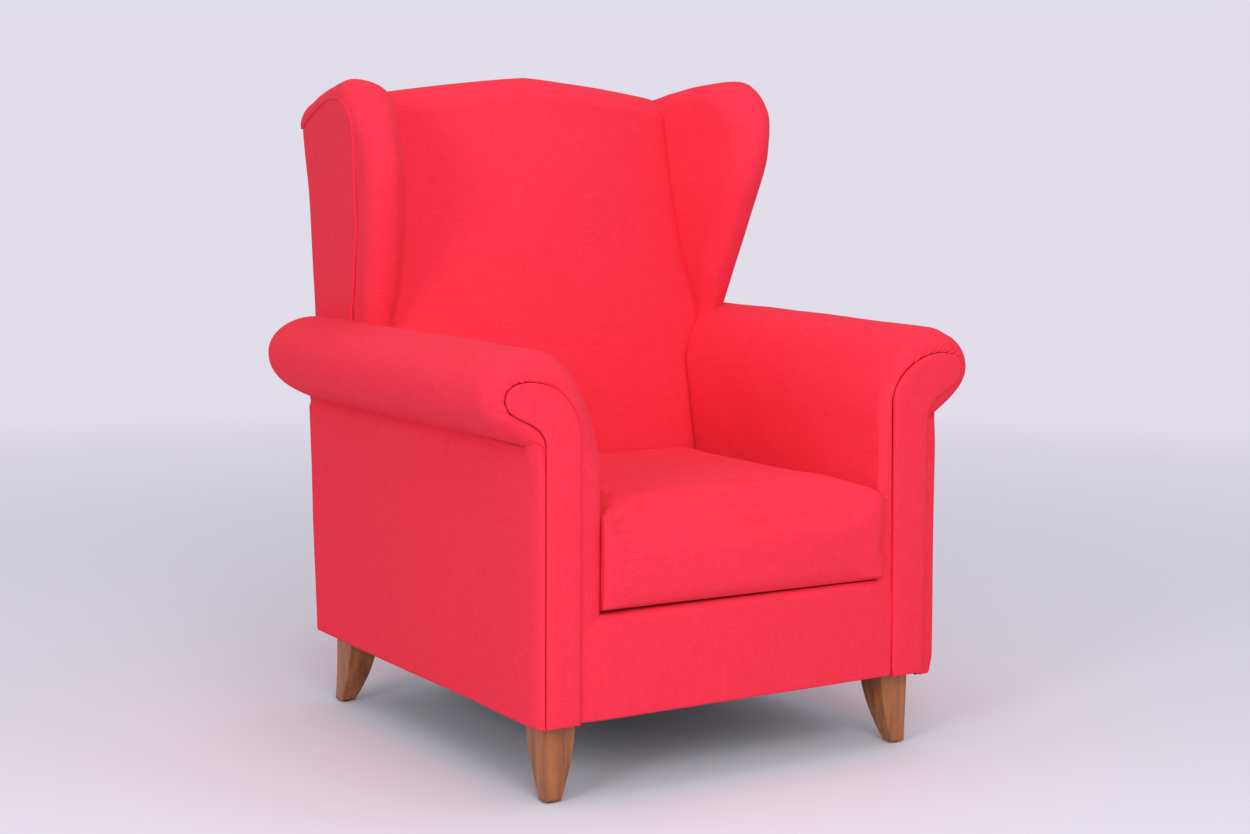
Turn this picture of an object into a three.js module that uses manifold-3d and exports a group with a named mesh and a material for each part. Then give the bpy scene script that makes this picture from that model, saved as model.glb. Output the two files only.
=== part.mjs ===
// Fireside chair: an upholstered wing armchair with scroll arms, a camel-topped back,
// a loose box cushion and four swept wooden legs, built as it comes apart on a bench.
// Millimetres, +Z up. The sitter looks along -Y; left and right are as seen from the front.
// Depths (Y) are counted from the faces of the arm fronts until the whole chair is centred.

import * as THREE from "three";
import { mergeVertices } from "three/addons/utils/BufferGeometryUtils.js";
import Module from "manifold-3d";

const wasm = await Module();
wasm.setup();

// Driving dimensions: clearances and layers
const CLEARANCE = 0.3; // between neighbouring pieces
const COVER = 5; // covering fabric with its wadding
const PANEL = 6; // outer panels, fabric over card
const FACING = 10; // scroll panels on the arm fronts
const OVERRUN = 12; // how far cutters reach past what they cut

// Driving dimensions: the whole chair
const BACK_RISE = 415; // crest of the arms up to the crest of the back
const SEAT_WIDTH = 562; // between the inner faces of the arms
const ARM_THICKNESS = 79; // inner face of an arm to its outer panel
const COVER_BOTTOM = 124; // lower edge of the outer panels above the floor
const BASE_DEPTH = 821; // arm fronts to the rear face, at the lower edge
const REAR_AT_ARMS = 25; // how much further back the rear face is at arm height
const REAR_AT_CREST = 82; // and at the crest of the back
const REAR_BOW_SHARE = 1.35; // how late the rear face sweeps back above the arms
const REAR_FOOT_SHARE = 0.8; // and how early below them

// Driving dimensions: arms
const ARM_HEIGHT = 685; // crest of the arm roll
const ARM_SHOULDER = 100; // height of the curve from inner face to crest
const ARM_CREST_IN = 90; // crest, outwards from the inner face
const ROLL_OUT = 96; // outermost point of the roll, past the outer panel
const ROLL_FALL = 61; // crest of the arm down to that outermost point
const ROLL_UNDER = 87; // and from there down to the seam on the outer panel
const ROLL_STOP = 22; // rear end of the roll, in front of the rear face's foot
const ROLL_FRONT_ROUND = 24; // rounding of the roll's front edge, in depth
const ROLL_REAR_ROUND = 18; // rounding of the roll's rear end
const ROLL_REAR_SHARE = 0.9; // how much of that rounding the outline draws in
const ARM_SKIRT = 34; // how far the arm cover runs down past the seat deck
const UNDER_SEAM = 7; // room below the roll's seam inside the cover
const BOARD_ROOM = 1.3; // room that the arm's layers leave round a wing board
// Pull of the arm's curves: shoulder up and in, crest out and tip up, tip down, seam out and up
const ARM_CURVE_SHARES = [0.45, 0.55, 0.6, 0.56, 0.5, 0.6, 0.22];

// Driving dimensions: scroll facings
const FACING_IN = 22; // facing's inner edge, outwards from the arm's inner face
const FACING_CREST_IN = 64; // its crest, outwards from the same face
const FACING_CREST_FALL = 56; // and below the arm's crest
const FACING_NECK = 77; // from its crest down to where the inner edge runs straight
const FACING_TIP_OUT = 71; // its outermost point, past the outer panel
const FACING_TIP_FALL = 13; // and below its crest
const FACING_HOOK = 76; // from that point down to where the outer edge runs straight
const FACING_PROUD = 6; // proud of the front border and of the roll's front
const FACING_DROP = 1; // the facings hang this far below the outer panels
const BORDER_RAISE = 5; // border's lower edge above the outer panels' lower edge
// Pull of the facing's curves: neck up and in, crest down, out and up, tip up, tip down, hook up
const FACING_CURVE_SHARES = [0.46, 0.5, 0.18, 0.38, 0.22, 0.39, 0.5, 0.34];

// Driving dimensions: back
const BACK_THICKNESS = 262; // front of the back at the seat to the rear face's foot
const BACK_RAKE = 12; // degrees
const RAKE_ABOVE = 3.8; // the rake begins this far above the cushion's edge
const BACK_FOOT_ABOVE = 5.8; // lower end of the inside back, above the seat deck
const BACK_CROWN_LOW = 10; // fullness of the back at the seat
const BACK_CROWN_HIGH = 40; // and higher up
const CREST_DROP = 31; // crest of the back to its lowest point beside the wings
const CREST_BOW_SHARE = 1.25; // 1 is a straight slope, more is a rounder crest
const TOP_ROUND_HEIGHT = 46; // rounding over the top edge
const TOP_ROUND_DEPTH = 58;
const REAR_DROP = 10; // top surface falls this much to the rear
const BACK_TUCK = 8; // the back's edges are tucked this far into the wings
const ACROSS_SHARES = [-1, -0.8, -0.55, -0.28, 0, 0.28, 0.55, 0.8, 1]; // sections across the back

// Driving dimensions: wings
const WING_BELOW_CREST = 4; // top of the wing's lobe, below the crest of the back
const WING_FOOT_BACK = 25.5; // its front edge at the arm, behind the front of the back
const WING_LOBE_BACK = 27.5; // top of the lobe, behind that place
const WING_LEAN = 76.5; // how far the front edge leans forwards
const WING_BEND_SHARE = 0.535; // where up the wing that edge starts to turn
const WING_TURN_SHARE = 0.25; // how slowly it turns
const WING_CREST_HANDLE = 65; // how flat the lobe's top is
const WING_REAR_FALL = 61; // the wing's top falls this much to the rear
const WING_REAR_RISE = 24; // its inner edge rises to meet the back at the rear
const NOSE_RADIUS = 35; // padded front edge
const NOSE_FOOT = 46.3; // middle of the nose at the arm, outwards from the inner face
const NOSE_FLARE = 41.7; // how far the nose leans out
const FLARE_SHARE = 0.768; // up to that share of the wing's height
const WING_IN_FOOT = 32; // wing's inner face at the arm, outwards from the arm's inner face
const WING_IN_BOW_SHARE = 2.2;
const SEAM_WRAP_LOW = 28; // outer seam behind the middle of the nose
const SEAM_WRAP_MORE = 22;
const TOP_SEAM_DROP = 28; // outer panel's top seam below the wing's top
const TOP_SEAM_ROUND = 32; // rounding of the wing's top
const TOP_NARROW_SHARE = 0.88; // how far the two faces close in over the top
const PIPING_RADIUS = 2.6;
const PIPING_SIDES = 6;
const PIPING_STEPS = 22;
const WING_PAD_EASE = 1.8; // the pad is this much smaller than the inside of its cover
const WING_PAD_SETTLE = 3.8; // and settles this far under the top

// Driving dimensions: wooden frame
const FRAME_RAISE = 6; // underside of the frame above the panels' lower edge
const RAIL_HEIGHT = 110;
const RAIL_THICKNESS = 25;
const SIDE_THICKNESS = 28;
const UPRIGHT_THICKNESS = 28;
const UPRIGHT_DEPTH = 121; // front edge of the back uprights to the rear face's foot
const UPRIGHT_LEAN = 68; // how much further back that edge is at the top
const UPRIGHT_BELOW_CREST = 115; // their upper end below the crest of the back
const CROSS_RAIL_GAP = 3; // cross rail in front of the uprights
const ARM_RAIL_HEIGHT = 40;
const ARM_RAIL_ABOVE_SEAM = 8;
const ARM_BOARD_THICKNESS = 22;
const WING_BOARD_THICKNESS = 13.5;
const WING_BOARD_MARGIN = 48; // below the wing's top
const TOP_RAIL_HEIGHT = 80;
const TOP_RAIL_MARGIN = 50; // below the crest of the back
const CORNER_BLOCK_SIDE = 60;
const CORNER_BLOCK_HEIGHT = 70;

// Driving dimensions: springs and linings
const SPRING_COUNT = 4;
const SPRING_BENDS = 11;
const SPRING_WIRE = 4;
const SPRING_WIDTH = 46;
const SPRING_TENSION_SHARE = 0.4; // how rounded the bends are
const HESSIAN = 2;
const DUST_COVER = 2.7;
const DECK_PAD = 32;
const DECK_RETURN = 60; // how far the border cover runs back over the deck

// Driving dimensions: cushion
const CUSHION_SIDE_GAP = 14; // between the cushion and each arm
const CUSHION_FRONT = 2;
const CUSHION_BACK_GAP = 6; // behind the cushion, to the fullest point of the back
const CUSHION_HEIGHT = 150; // at its top edge
const CUSHION_CROWN = 20;
const CUSHION_CORNER = 34; // rounding in plan
const CORNER_FADE_SHARE = 0.3; // how fast that rounding shrinks over the edges
const CUSHION_TOP_ROUND = 30;
const CUSHION_BOTTOM_ROUND = 15;
const CUSHION_DRAWN_IN = 4; // how far the sides pull in between the corners
const CUSHION_SKIN = 4;
const ZIP_MARGIN = 67; // from each end of the zip to the cushion's side
const ZIP_SLOT = 5;
const SLIDER_LENGTH = 14;
const SLIDER_PLATE = 1.6;
const SLIDER_HEIGHT = 9;
const PULL_LENGTH = 22;
const PULL_SHARES = [0.3, 0.7]; // the pull's two sides across the slider

// Driving dimensions: legs
const LEG_TOP_X = 48;
const LEG_TOP_FRONT_Y = 55;
const LEG_TOP_REAR_Y = 48;
const LEG_FOOT_X = 22.5;
const LEG_FOOT_FRONT_Y = 27;
const LEG_FOOT_REAR_Y = 23;
const LEG_INSET_X = 14; // leg's outer face, inwards from the outer panel
const LEG_SPLAY_X = 3; // the foot is this much further in
const FRONT_LEG_DEPTH = 35;
const REAR_LEG_SETBACK = 107; // front face of a rear leg at its top, before the rear face's foot
const REAR_LEG_SWEEP = 39; // how far that face sweeps back to the foot
const LEG_CURVE_SHARE = 1.7; // 1 is a straight taper
const LEG_CHAMFER = 3;
const GLIDE_HEIGHT = 3;
const GLIDE_RADIUS = 9;
const GLIDE_SIDES = 16;
const BOLT_RADIUS = 4;
const BOLT_SIDES = 10;
const BOLT_IN_LEG = 42;
const BOLT_IN_FRAME = 48;
const BOLT_INSET_X = 48; // bolt's axis, inwards from the outer panel
const BOLT_SETBACK_Y = 28; // bolt's axis, behind the leg's front face

// Worked-out places: across
const ARM_IN = SEAT_WIDTH / 2;
const BASE_X = ARM_IN + ARM_THICKNESS;
const FRAME_OUT = BASE_X - PANEL - CLEARANCE;
const FRAME_IN = FRAME_OUT - SIDE_THICKNESS;
const UPRIGHT_OUT = FRAME_IN - CLEARANCE;
const UPRIGHT_IN = UPRIGHT_OUT - UPRIGHT_THICKNESS;
const WING_REAR_X = FRAME_IN + WING_BOARD_THICKNESS + COVER + CLEARANCE;
const ZIP_HALF = ARM_IN - CUSHION_SIDE_GAP - ZIP_MARGIN;

// Worked-out places: in depth
const BOARD_BACK = FACING + CLEARANCE + ARM_BOARD_THICKNESS;
const FRONT_LAYER = FACING_PROUD + COVER; // back of the border cover
const ROLL_BACK = BASE_DEPTH - ROLL_STOP;
const BACK_DEPTH = BASE_DEPTH - BACK_THICKNESS;
const WING_FOOT_DEPTH = BACK_DEPTH + WING_FOOT_BACK;
const WING_CREST_DEPTH = WING_FOOT_DEPTH + WING_LOBE_BACK;
const UPRIGHT_FOOT_DEPTH = BASE_DEPTH - UPRIGHT_DEPTH;
const CROSS_RAIL_DEPTH = UPRIGHT_FOOT_DEPTH - CROSS_RAIL_GAP - RAIL_THICKNESS;
const REAR_LEG_DEPTH = BASE_DEPTH - REAR_LEG_SETBACK;

// Worked-out places: heights
const BACK_HEIGHT = ARM_HEIGHT + BACK_RISE;
const FRAME_BOTTOM = COVER_BOTTOM + FRAME_RAISE;
const RAIL_TOP = FRAME_BOTTOM + RAIL_HEIGHT;
const HESSIAN_BOTTOM = RAIL_TOP + SPRING_WIRE + 2 * CLEARANCE;
const DECK_PAD_BOTTOM = HESSIAN_BOTTOM + HESSIAN + CLEARANCE;
const DECK_UNDER = DECK_PAD_BOTTOM + DECK_PAD + CLEARANCE;
const DECK_TOP = DECK_UNDER + COVER; // top of the platform that the cushion lies on
const SKIRT_BOTTOM = DECK_TOP - ARM_SKIRT;
const BACK_FOOT = DECK_TOP + BACK_FOOT_ABOVE;
const RAKE_START = DECK_TOP + CUSHION_HEIGHT + RAKE_ABOVE;
const ROLL_OUT_HEIGHT = ARM_HEIGHT - ROLL_FALL;
const ROLL_SEAM_HEIGHT = ROLL_OUT_HEIGHT - ROLL_UNDER;
const ARM_RAIL_TOP = ROLL_SEAM_HEIGHT + ARM_RAIL_ABOVE_SEAM;
const FACING_CREST_HEIGHT = ARM_HEIGHT - FACING_CREST_FALL;
const FACING_TIP_HEIGHT = FACING_CREST_HEIGHT - FACING_TIP_FALL;
const FACING_NECK_HEIGHT = FACING_CREST_HEIGHT - FACING_NECK;
const FACING_HOOK_HEIGHT = FACING_TIP_HEIGHT - FACING_HOOK;
const WING_CREST = BACK_HEIGHT - WING_BELOW_CREST;
const WING_HEIGHT = WING_CREST - ARM_HEIGHT;
const WING_BEND_HEIGHT = ARM_HEIGHT + WING_BEND_SHARE * WING_HEIGHT;
const FLARE_HEIGHT = ARM_HEIGHT + FLARE_SHARE * WING_HEIGHT;
const UPRIGHT_TOP = BACK_HEIGHT - UPRIGHT_BELOW_CREST;

// Small helpers

const clamp = (t) => Math.min(Math.max(t, 0), 1);
const mix = (a, b, t) => a + (b - a) * t;
const ease = (t) => clamp(t) ** 2 * (3 - 2 * clamp(t));
const point = (x, y, z) => new THREE.Vector3(x, y, z);
const degrees = (angle) => (angle * Math.PI) / 180;
const steps = (count) => Array.from({ length: count + 1 }, (_, i) => i / count);

// Turns a closed surface so that its faces point outwards.
function facingOut(geometry) {
  const at = geometry.getAttribute("position");
  const index = geometry.getIndex().array;
  const [a, b, c] = [point(), point(), point()];
  let volume = 0;
  for (let i = 0; i < index.length; i += 3) {
    a.fromBufferAttribute(at, index[i]);
    b.fromBufferAttribute(at, index[i + 1]);
    c.fromBufferAttribute(at, index[i + 2]);
    volume += a.dot(b.cross(c));
  }
  if (volume < 0)
    for (let i = 0; i < index.length; i += 3)
      [index[i + 1], index[i + 2]] = [index[i + 2], index[i + 1]];
  return geometry;
}

// Cap of a flat ring: triangles over its outline as seen through a flattening function.
const flatCap = (flatten) => (ring) => {
  const outline = ring.map(flatten);
  const sign = Math.sign(THREE.ShapeUtils.area(outline));
  return THREE.ShapeUtils.triangulateShape(outline, []).map(([a, b, c]) => {
    const area = THREE.ShapeUtils.area([outline[a], outline[b], outline[c]]);
    return Math.sign(area) === sign ? [a, b, c] : [a, c, b];
  });
};
const capInXY = flatCap((p) => new THREE.Vector2(p.x, p.y));
const capInXZ = flatCap((p) => new THREE.Vector2(p.x, p.z));

// Cap of a ring that runs along one face and back along the other: rungs between the two.
function stripCap(ring) {
  const faces = [];
  for (let i = 0, j = ring.length - 1; j - i > 1; i++, j--) {
    if (j - i > 2) faces.push([i, i + 1, j - 1]);
    faces.push([i, j - 1, j]);
  }
  return faces;
}

// Closed solid through a row of rings that have equally many points.
function loft(rings, cap) {
  const size = rings[0].length;
  const faces = [];
  for (let i = 0; i + 1 < rings.length; i++)
    for (let j = 0; j < size; j++) {
      const k = (j + 1) % size;
      faces.push([i * size + j, i * size + k, (i + 1) * size + k]);
      faces.push([i * size + j, (i + 1) * size + k, (i + 1) * size + j]);
    }
  const start = (rings.length - 1) * size;
  for (const [a, b, c] of cap(rings[0])) faces.push([a, c, b]);
  for (const [a, b, c] of cap(rings.at(-1))) faces.push([start + a, start + b, start + c]);
  const geometry = new THREE.BufferGeometry();
  const numbers = rings.flat().flatMap((p) => [p.x, p.y, p.z]);
  geometry.setAttribute("position", new THREE.Float32BufferAttribute(numbers, 3));
  geometry.setIndex(faces.flat());
  return facingOut(geometry);
}

// Closed sheet between two grids of points.
const sheet = (outer, inner) =>
  loft(
    outer.map((row, i) => [...row, ...inner[i].toReversed()]),
    stripCap,
  );

// Straight solid of an outline, along one axis. Outlines are [a, b] pairs.
function prism(outline, axis, from, to) {
  const shape = new THREE.Shape(outline.map(([a, b]) => new THREE.Vector2(a, b)));
  const solid = new THREE.ExtrudeGeometry(shape, { depth: to - from, bevelEnabled: false });
  const [x, y, z] = [point(1, 0, 0), point(0, 1, 0), point(0, 0, 1)];
  const frame = new THREE.Matrix4();
  if (axis === "x") frame.makeBasis(y, z, x).setPosition(from, 0, 0);
  if (axis === "y") frame.makeBasis(x, z, y.negate()).setPosition(0, to, 0);
  if (axis === "z") frame.setPosition(0, 0, from);
  return solid.applyMatrix4(frame);
}

function box(x0, x1, y0, y1, z0, z1) {
  const solid = new THREE.BoxGeometry(x1 - x0, y1 - y0, z1 - z0);
  return solid.translate((x0 + x1) / 2, (y0 + y1) / 2, (z0 + z1) / 2);
}

function rod(radius, x, y, z0, z1, sides) {
  const solid = new THREE.CylinderGeometry(radius, radius, z1 - z0, sides);
  return solid.rotateX(Math.PI / 2).translate(x, y, (z0 + z1) / 2);
}

function toSolid(geometry) {
  const bare = geometry.clone();
  bare.deleteAttribute("normal");
  bare.deleteAttribute("uv");
  const merged = mergeVertices(bare);
  const vertProperties = merged.getAttribute("position").array;
  const triVerts = new Uint32Array(merged.getIndex().array);
  return new wasm.Manifold(new wasm.Mesh({ numProp: 3, vertProperties, triVerts }));
}

function fromSolid(solid) {
  const { vertProperties, triVerts } = solid.getMesh();
  const geometry = new THREE.BufferGeometry();
  geometry.setAttribute("position", new THREE.Float32BufferAttribute(vertProperties, 3));
  geometry.setIndex([...triVerts]);
  return geometry;
}

// Cuts pieces away and keeps the main body; the offcuts fall away.
function cut(geometry, ...cutters) {
  let solid = toSolid(geometry);
  for (const cutter of cutters) solid = solid.subtract(toSolid(cutter));
  const bodies = solid.decompose();
  return fromSolid(bodies.reduce((a, b) => (a.volume() > b.volume() ? a : b)));
}

function join(...pieces) {
  return fromSolid(pieces.map(toSolid).reduce((a, b) => a.add(b)));
}

// The same piece on the other side of the chair.
const mirrored = (geometry) => {
  const other = geometry.index ? geometry.clone() : mergeVertices(geometry);
  other.deleteAttribute("normal");
  other.deleteAttribute("uv");
  return facingOut(mergeVertices(other.applyMatrix4(new THREE.Matrix4().makeScale(-1, 1, 1))));
};

// An open outline moved sideways, to the right of its direction when distance is positive.
function moved(outline, distance) {
  return outline.map(([a, b], i) => {
    const [pa, pb] = outline[Math.max(i - 1, 0)];
    const [na, nb] = outline[Math.min(i + 1, outline.length - 1)];
    const length = Math.hypot(na - pa, nb - pb);
    return [a + ((nb - pb) / length) * distance, b - ((na - pa) / length) * distance];
  });
}

// Surfaces that several pieces follow

// Depth of the chair's rear face at a height.
function rearDepth(z) {
  const low = clamp((z - COVER_BOTTOM) / (ARM_HEIGHT - COVER_BOTTOM));
  const high = clamp((z - ARM_HEIGHT) / (BACK_HEIGHT - ARM_HEIGHT));
  const sweep = (REAR_AT_CREST - REAR_AT_ARMS) * high ** REAR_BOW_SHARE;
  return BASE_DEPTH + REAR_AT_ARMS * low ** REAR_FOOT_SHARE + sweep;
}

// Depth of the inside back at a height, at its edges beside the arms and wings.
const backDepth = (z) => BACK_DEPTH + Math.max(z - RAKE_START, 0) * Math.tan(degrees(BACK_RAKE));

// How much further forward the middle of the back is.
function backCrown(z) {
  return mix(BACK_CROWN_LOW, BACK_CROWN_HIGH, ease((z - RAKE_START) / (BACK_HEIGHT / 2)));
}

// Height of the camel-shaped top at a place across the back.
function crestHeight(x) {
  return BACK_HEIGHT - CREST_DROP * (Math.abs(x) / ARM_IN) ** CREST_BOW_SHARE;
}

// Half the width of the rear face at a height: it leans in above the arm roll's seam.
function rearHalfWidth(z) {
  const lean = ease((z - ROLL_SEAM_HEIGHT) / (ARM_HEIGHT - ROLL_SEAM_HEIGHT));
  return mix(BASE_X, WING_REAR_X, lean);
}

// Front face of the back uprights at a height.
function uprightDepth(z) {
  return UPRIGHT_FOOT_DEPTH + (UPRIGHT_LEAN * (z - FRAME_BOTTOM)) / (UPRIGHT_TOP - FRAME_BOTTOM);
}

// Arms

// Path of the arm's covered surface: up the inner face, over the crest, round the roll to its seam.
function armPath() {
  const crest = [ARM_IN + ARM_CREST_IN, ARM_HEIGHT];
  const tip = [BASE_X + ROLL_OUT, ROLL_OUT_HEIGHT];
  const across = tip[0] - crest[0];
  const under = tip[0] - BASE_X;
  const [riseUp, riseIn, crestOut, tipUp, tipDown, seamOut, seamUp] = ARM_CURVE_SHARES;
  const path = new THREE.Path();
  path.moveTo(ARM_IN, SKIRT_BOTTOM);
  path.lineTo(ARM_IN, ARM_HEIGHT - ARM_SHOULDER);
  path.bezierCurveTo(
    ARM_IN,
    ARM_HEIGHT - riseUp * ARM_SHOULDER,
    crest[0] - riseIn * ARM_CREST_IN,
    ARM_HEIGHT,
    ...crest,
  );
  path.bezierCurveTo(
    crest[0] + crestOut * across,
    ARM_HEIGHT,
    tip[0],
    mix(ROLL_OUT_HEIGHT, ARM_HEIGHT, tipUp),
    ...tip,
  );
  path.bezierCurveTo(
    tip[0],
    mix(ROLL_OUT_HEIGHT, ROLL_SEAM_HEIGHT, tipDown),
    BASE_X + seamOut * under,
    mix(ROLL_SEAM_HEIGHT, ROLL_OUT_HEIGHT, seamUp),
    BASE_X,
    ROLL_SEAM_HEIGHT,
  );
  return sampled(path);
}

// Path of the facing's edge, point for point beside the arm's path.
function facingPath(bottom) {
  const inner = ARM_IN + FACING_IN;
  const crest = [ARM_IN + FACING_CREST_IN, FACING_CREST_HEIGHT];
  const tip = [BASE_X + FACING_TIP_OUT, FACING_TIP_HEIGHT];
  const rise = crest[1] - FACING_NECK_HEIGHT;
  const across = tip[0] - crest[0];
  const [neckUp, neckIn, crestDown, crestOut, crestUp, tipUp, tipDown, hookUp] = FACING_CURVE_SHARES;
  const path = new THREE.Path();
  path.moveTo(inner, bottom);
  path.lineTo(inner, FACING_NECK_HEIGHT);
  path.bezierCurveTo(
    inner,
    FACING_NECK_HEIGHT + neckUp * rise,
    mix(inner, crest[0], neckIn),
    crest[1] - crestDown * rise,
    ...crest,
  );
  path.bezierCurveTo(
    crest[0] + crestOut * across,
    crest[1] + crestUp * rise,
    tip[0],
    tip[1] + tipUp * rise,
    ...tip,
  );
  path.bezierCurveTo(
    tip[0],
    mix(tip[1], FACING_HOOK_HEIGHT, tipDown),
    BASE_X,
    mix(tip[1], FACING_HOOK_HEIGHT, hookUp),
    BASE_X,
    FACING_HOOK_HEIGHT,
  );
  return sampled(path);
}

// The same number of points on each stretch of either path.
function sampled(path) {
  const counts = [1, 4, 6, 5];
  const places = path.curves.flatMap((curve, i) => curve.getPoints(counts[i]).slice(i ? 1 : 0));
  return places.map((p) => [p.x, p.y]);
}

// Rings of the arm's body along its length. Inset shrinks it on every covered side.
function armRings(inset, close) {
  const arm = moved(armPath(), inset);
  const facing = moved(facingPath(SKIRT_BOTTOM), -CLEARANCE);
  const ring = (outline, y) => [...outline, ...close(outline)].map(([x, z]) => point(x, y, z));
  const rings = [];
  for (const t of steps(3)) {
    const turn = (t * Math.PI) / 2;
    const outline = arm.map(([x, z], i) => [
      mix(facing[i][0], x, Math.sin(turn)),
      mix(facing[i][1], z, Math.sin(turn)),
    ]);
    rings.push(ring(outline, FACING_PROUD + inset + ROLL_FRONT_ROUND * (1 - Math.cos(turn))));
  }
  for (const t of steps(3)) {
    const turn = (t * Math.PI) / 2;
    const shrink = (ROLL_REAR_ROUND - Math.max(inset, 0)) * (1 - Math.cos(turn));
    const depth = ROLL_BACK - inset - ROLL_REAR_ROUND * (1 - Math.sin(turn));
    rings.push(ring(moved(armPath(), inset + shrink * ROLL_REAR_SHARE), depth));
  }
  return rings;
}

// Whole arm above the skirt, used as a body and, grown, as a cutter.
function armBody(inset) {
  const close = () => [[BASE_X - inset, SKIRT_BOTTOM]];
  return loft(armRings(inset, close), capInXZ);
}

// What lies inside the arm cover: it reaches out below the seam, at the foot and at the front.
function armInside() {
  const reach = BASE_X + OVERRUN;
  const close = (outline) => {
    const [x, z] = outline.at(-1);
    return [
      [x + COVER, z - UNDER_SEAM],
      [reach, SKIRT_BOTTOM - OVERRUN],
      [outline[0][0], SKIRT_BOTTOM - OVERRUN],
    ];
  };
  return loft(armRings(COVER, close), capInXZ);
}

// Opening in the front of the arm cover, behind the facing.
function facingOpening() {
  const outline = facingPath(SKIRT_BOTTOM - OVERRUN);
  outline.push([BASE_X, SKIRT_BOTTOM - OVERRUN]);
  return prism(outline, "y", -OVERRUN, FACING_PROUD + COVER + OVERRUN / 2);
}

function facingOutline(inset, bottom) {
  const outline = moved(facingPath(bottom), inset);
  outline.push([outline.at(-1)[0], bottom]);
  return outline;
}

function armFrontPanel() {
  return prism(facingOutline(0, COVER_BOTTOM - FACING_DROP), "y", 0, FACING);
}

function armFrontBoard() {
  const outline = facingOutline(PANEL + CLEARANCE, FRAME_BOTTOM);
  return prism(outline, "y", FACING + CLEARANCE, BOARD_BACK);
}

// Space behind the inside back that belongs to the uprights, between the side frames.
function backZone() {
  const front = (z) => uprightDepth(z) - HESSIAN - 2 * CLEARANCE;
  const low = FRAME_BOTTOM - OVERRUN;
  const high = UPRIGHT_TOP + CLEARANCE;
  const rear = rearDepth(BACK_HEIGHT) + OVERRUN;
  const outline = [
    [front(low), low],
    [rear, low],
    [rear, high],
    [front(high), high],
  ];
  return prism(outline, "x", 0, FRAME_IN);
}

function armRail(grow) {
  const bottom = ARM_RAIL_TOP - ARM_RAIL_HEIGHT;
  const rear = rearDepth(bottom) - PANEL - 2 * CLEARANCE;
  return box(
    FRAME_IN + CLEARANCE - grow,
    FRAME_OUT + grow,
    BOARD_BACK + CLEARANCE - grow,
    rear + grow,
    bottom - grow,
    ARM_RAIL_TOP + grow,
  );
}

function armCover() {
  const front = uprightDepth(ARM_RAIL_TOP);
  const rear = rearDepth(BACK_HEIGHT);
  const low = SKIRT_BOTTOM - OVERRUN;
  return cut(
    armBody(0),
    armInside(),
    facingOpening(),
    backZone(),
    box(0, FRAME_OUT + CLEARANCE, front, rear, low, ARM_RAIL_TOP + CLEARANCE),
    box(0, BASE_X + OVERRUN, front, rear, low, ROLL_SEAM_HEIGHT),
    wingBoard(BOARD_ROOM),
  );
}

function armPad() {
  const frame = box(
    FRAME_IN,
    BASE_X + OVERRUN,
    0,
    rearDepth(BACK_HEIGHT),
    SKIRT_BOTTOM - OVERRUN,
    ARM_RAIL_TOP + CLEARANCE,
  );
  const behindBoard = box(
    0,
    BASE_X + ROLL_OUT,
    0,
    BOARD_BACK + CLEARANCE,
    0,
    ARM_HEIGHT,
  );
  return cut(
    armBody(COVER + CLEARANCE),
    frame,
    behindBoard,
    backZone(),
    wingBoard(BOARD_ROOM),
  );
}

// Outer side panel below the roll, with its rear edge on the sloping rear face.
function outsideArmPanel() {
  const rear = steps(4).map((t) => mix(COVER_BOTTOM, ROLL_SEAM_HEIGHT - CLEARANCE, t));
  const outline = [
    [FACING + CLEARANCE, ROLL_SEAM_HEIGHT - CLEARANCE],
    [FACING + CLEARANCE, COVER_BOTTOM],
    ...rear.map((z) => [rearDepth(z), z]),
  ];
  return prism(outline, "x", BASE_X - PANEL, BASE_X);
}

// Wings

// Middle of the nose at a height.
const noseX = (z) =>
  ARM_IN + NOSE_FOOT + (NOSE_FLARE * (z - ARM_HEIGHT)) / (FLARE_HEIGHT - ARM_HEIGHT);

// Side view of the wing's front edge, from below the arm's crest to the top of the lobe.
function wingFront(inset) {
  const [bendY, bendZ] = [WING_FOOT_DEPTH - WING_LEAN, WING_BEND_HEIGHT];
  const slope = WING_LEAN / (bendZ - ARM_HEIGHT);
  const length = Math.hypot(1, slope);
  const handle = WING_TURN_SHARE * WING_HEIGHT;
  const crest = WING_CREST - inset;
  const curve = new THREE.CubicBezierCurve(
    new THREE.Vector2(bendY + inset, bendZ),
    new THREE.Vector2(
      bendY + inset - (slope / length) * handle,
      bendZ + handle / length,
    ),
    new THREE.Vector2(WING_CREST_DEPTH - WING_CREST_HANDLE, crest),
    new THREE.Vector2(WING_CREST_DEPTH, crest),
  );
  const footShare = (ARM_RAIL_TOP + CLEARANCE - ARM_HEIGHT) / (bendZ - ARM_HEIGHT);
  const straightShares = [footShare, 0, 0.35, 0.7];
  const straight = straightShares.map((t) => [
    mix(WING_FOOT_DEPTH, bendY, t) + inset,
    mix(ARM_HEIGHT, bendZ, t),
  ]);
  const turnedShares = [0, 0.2, 0.4, 0.58, 0.72, 0.85, 0.94, 1];
  const turned = turnedShares.map((t) => curve.getPoint(t));
  return [...straight, ...turned.map((p) => [p.x, p.y])];
}

// Front edge's depth at a height, up to the lobe.
function wingFrontDepth(z) {
  const edge = wingFront(0);
  const i = Math.max(edge.findIndex((p) => p[1] > z), 1);
  const [a, b] = [edge[i - 1], edge[i]];
  return mix(a[0], b[0], (z - a[1]) / (b[1] - a[1]));
}

function seamDepth(z) {
  const wrap = Math.sin(Math.PI * clamp((z - ARM_HEIGHT) / (WING_CREST - ARM_HEIGHT)));
  return wingFrontDepth(z) + NOSE_RADIUS + SEAM_WRAP_LOW + SEAM_WRAP_MORE * wrap;
}

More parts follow.
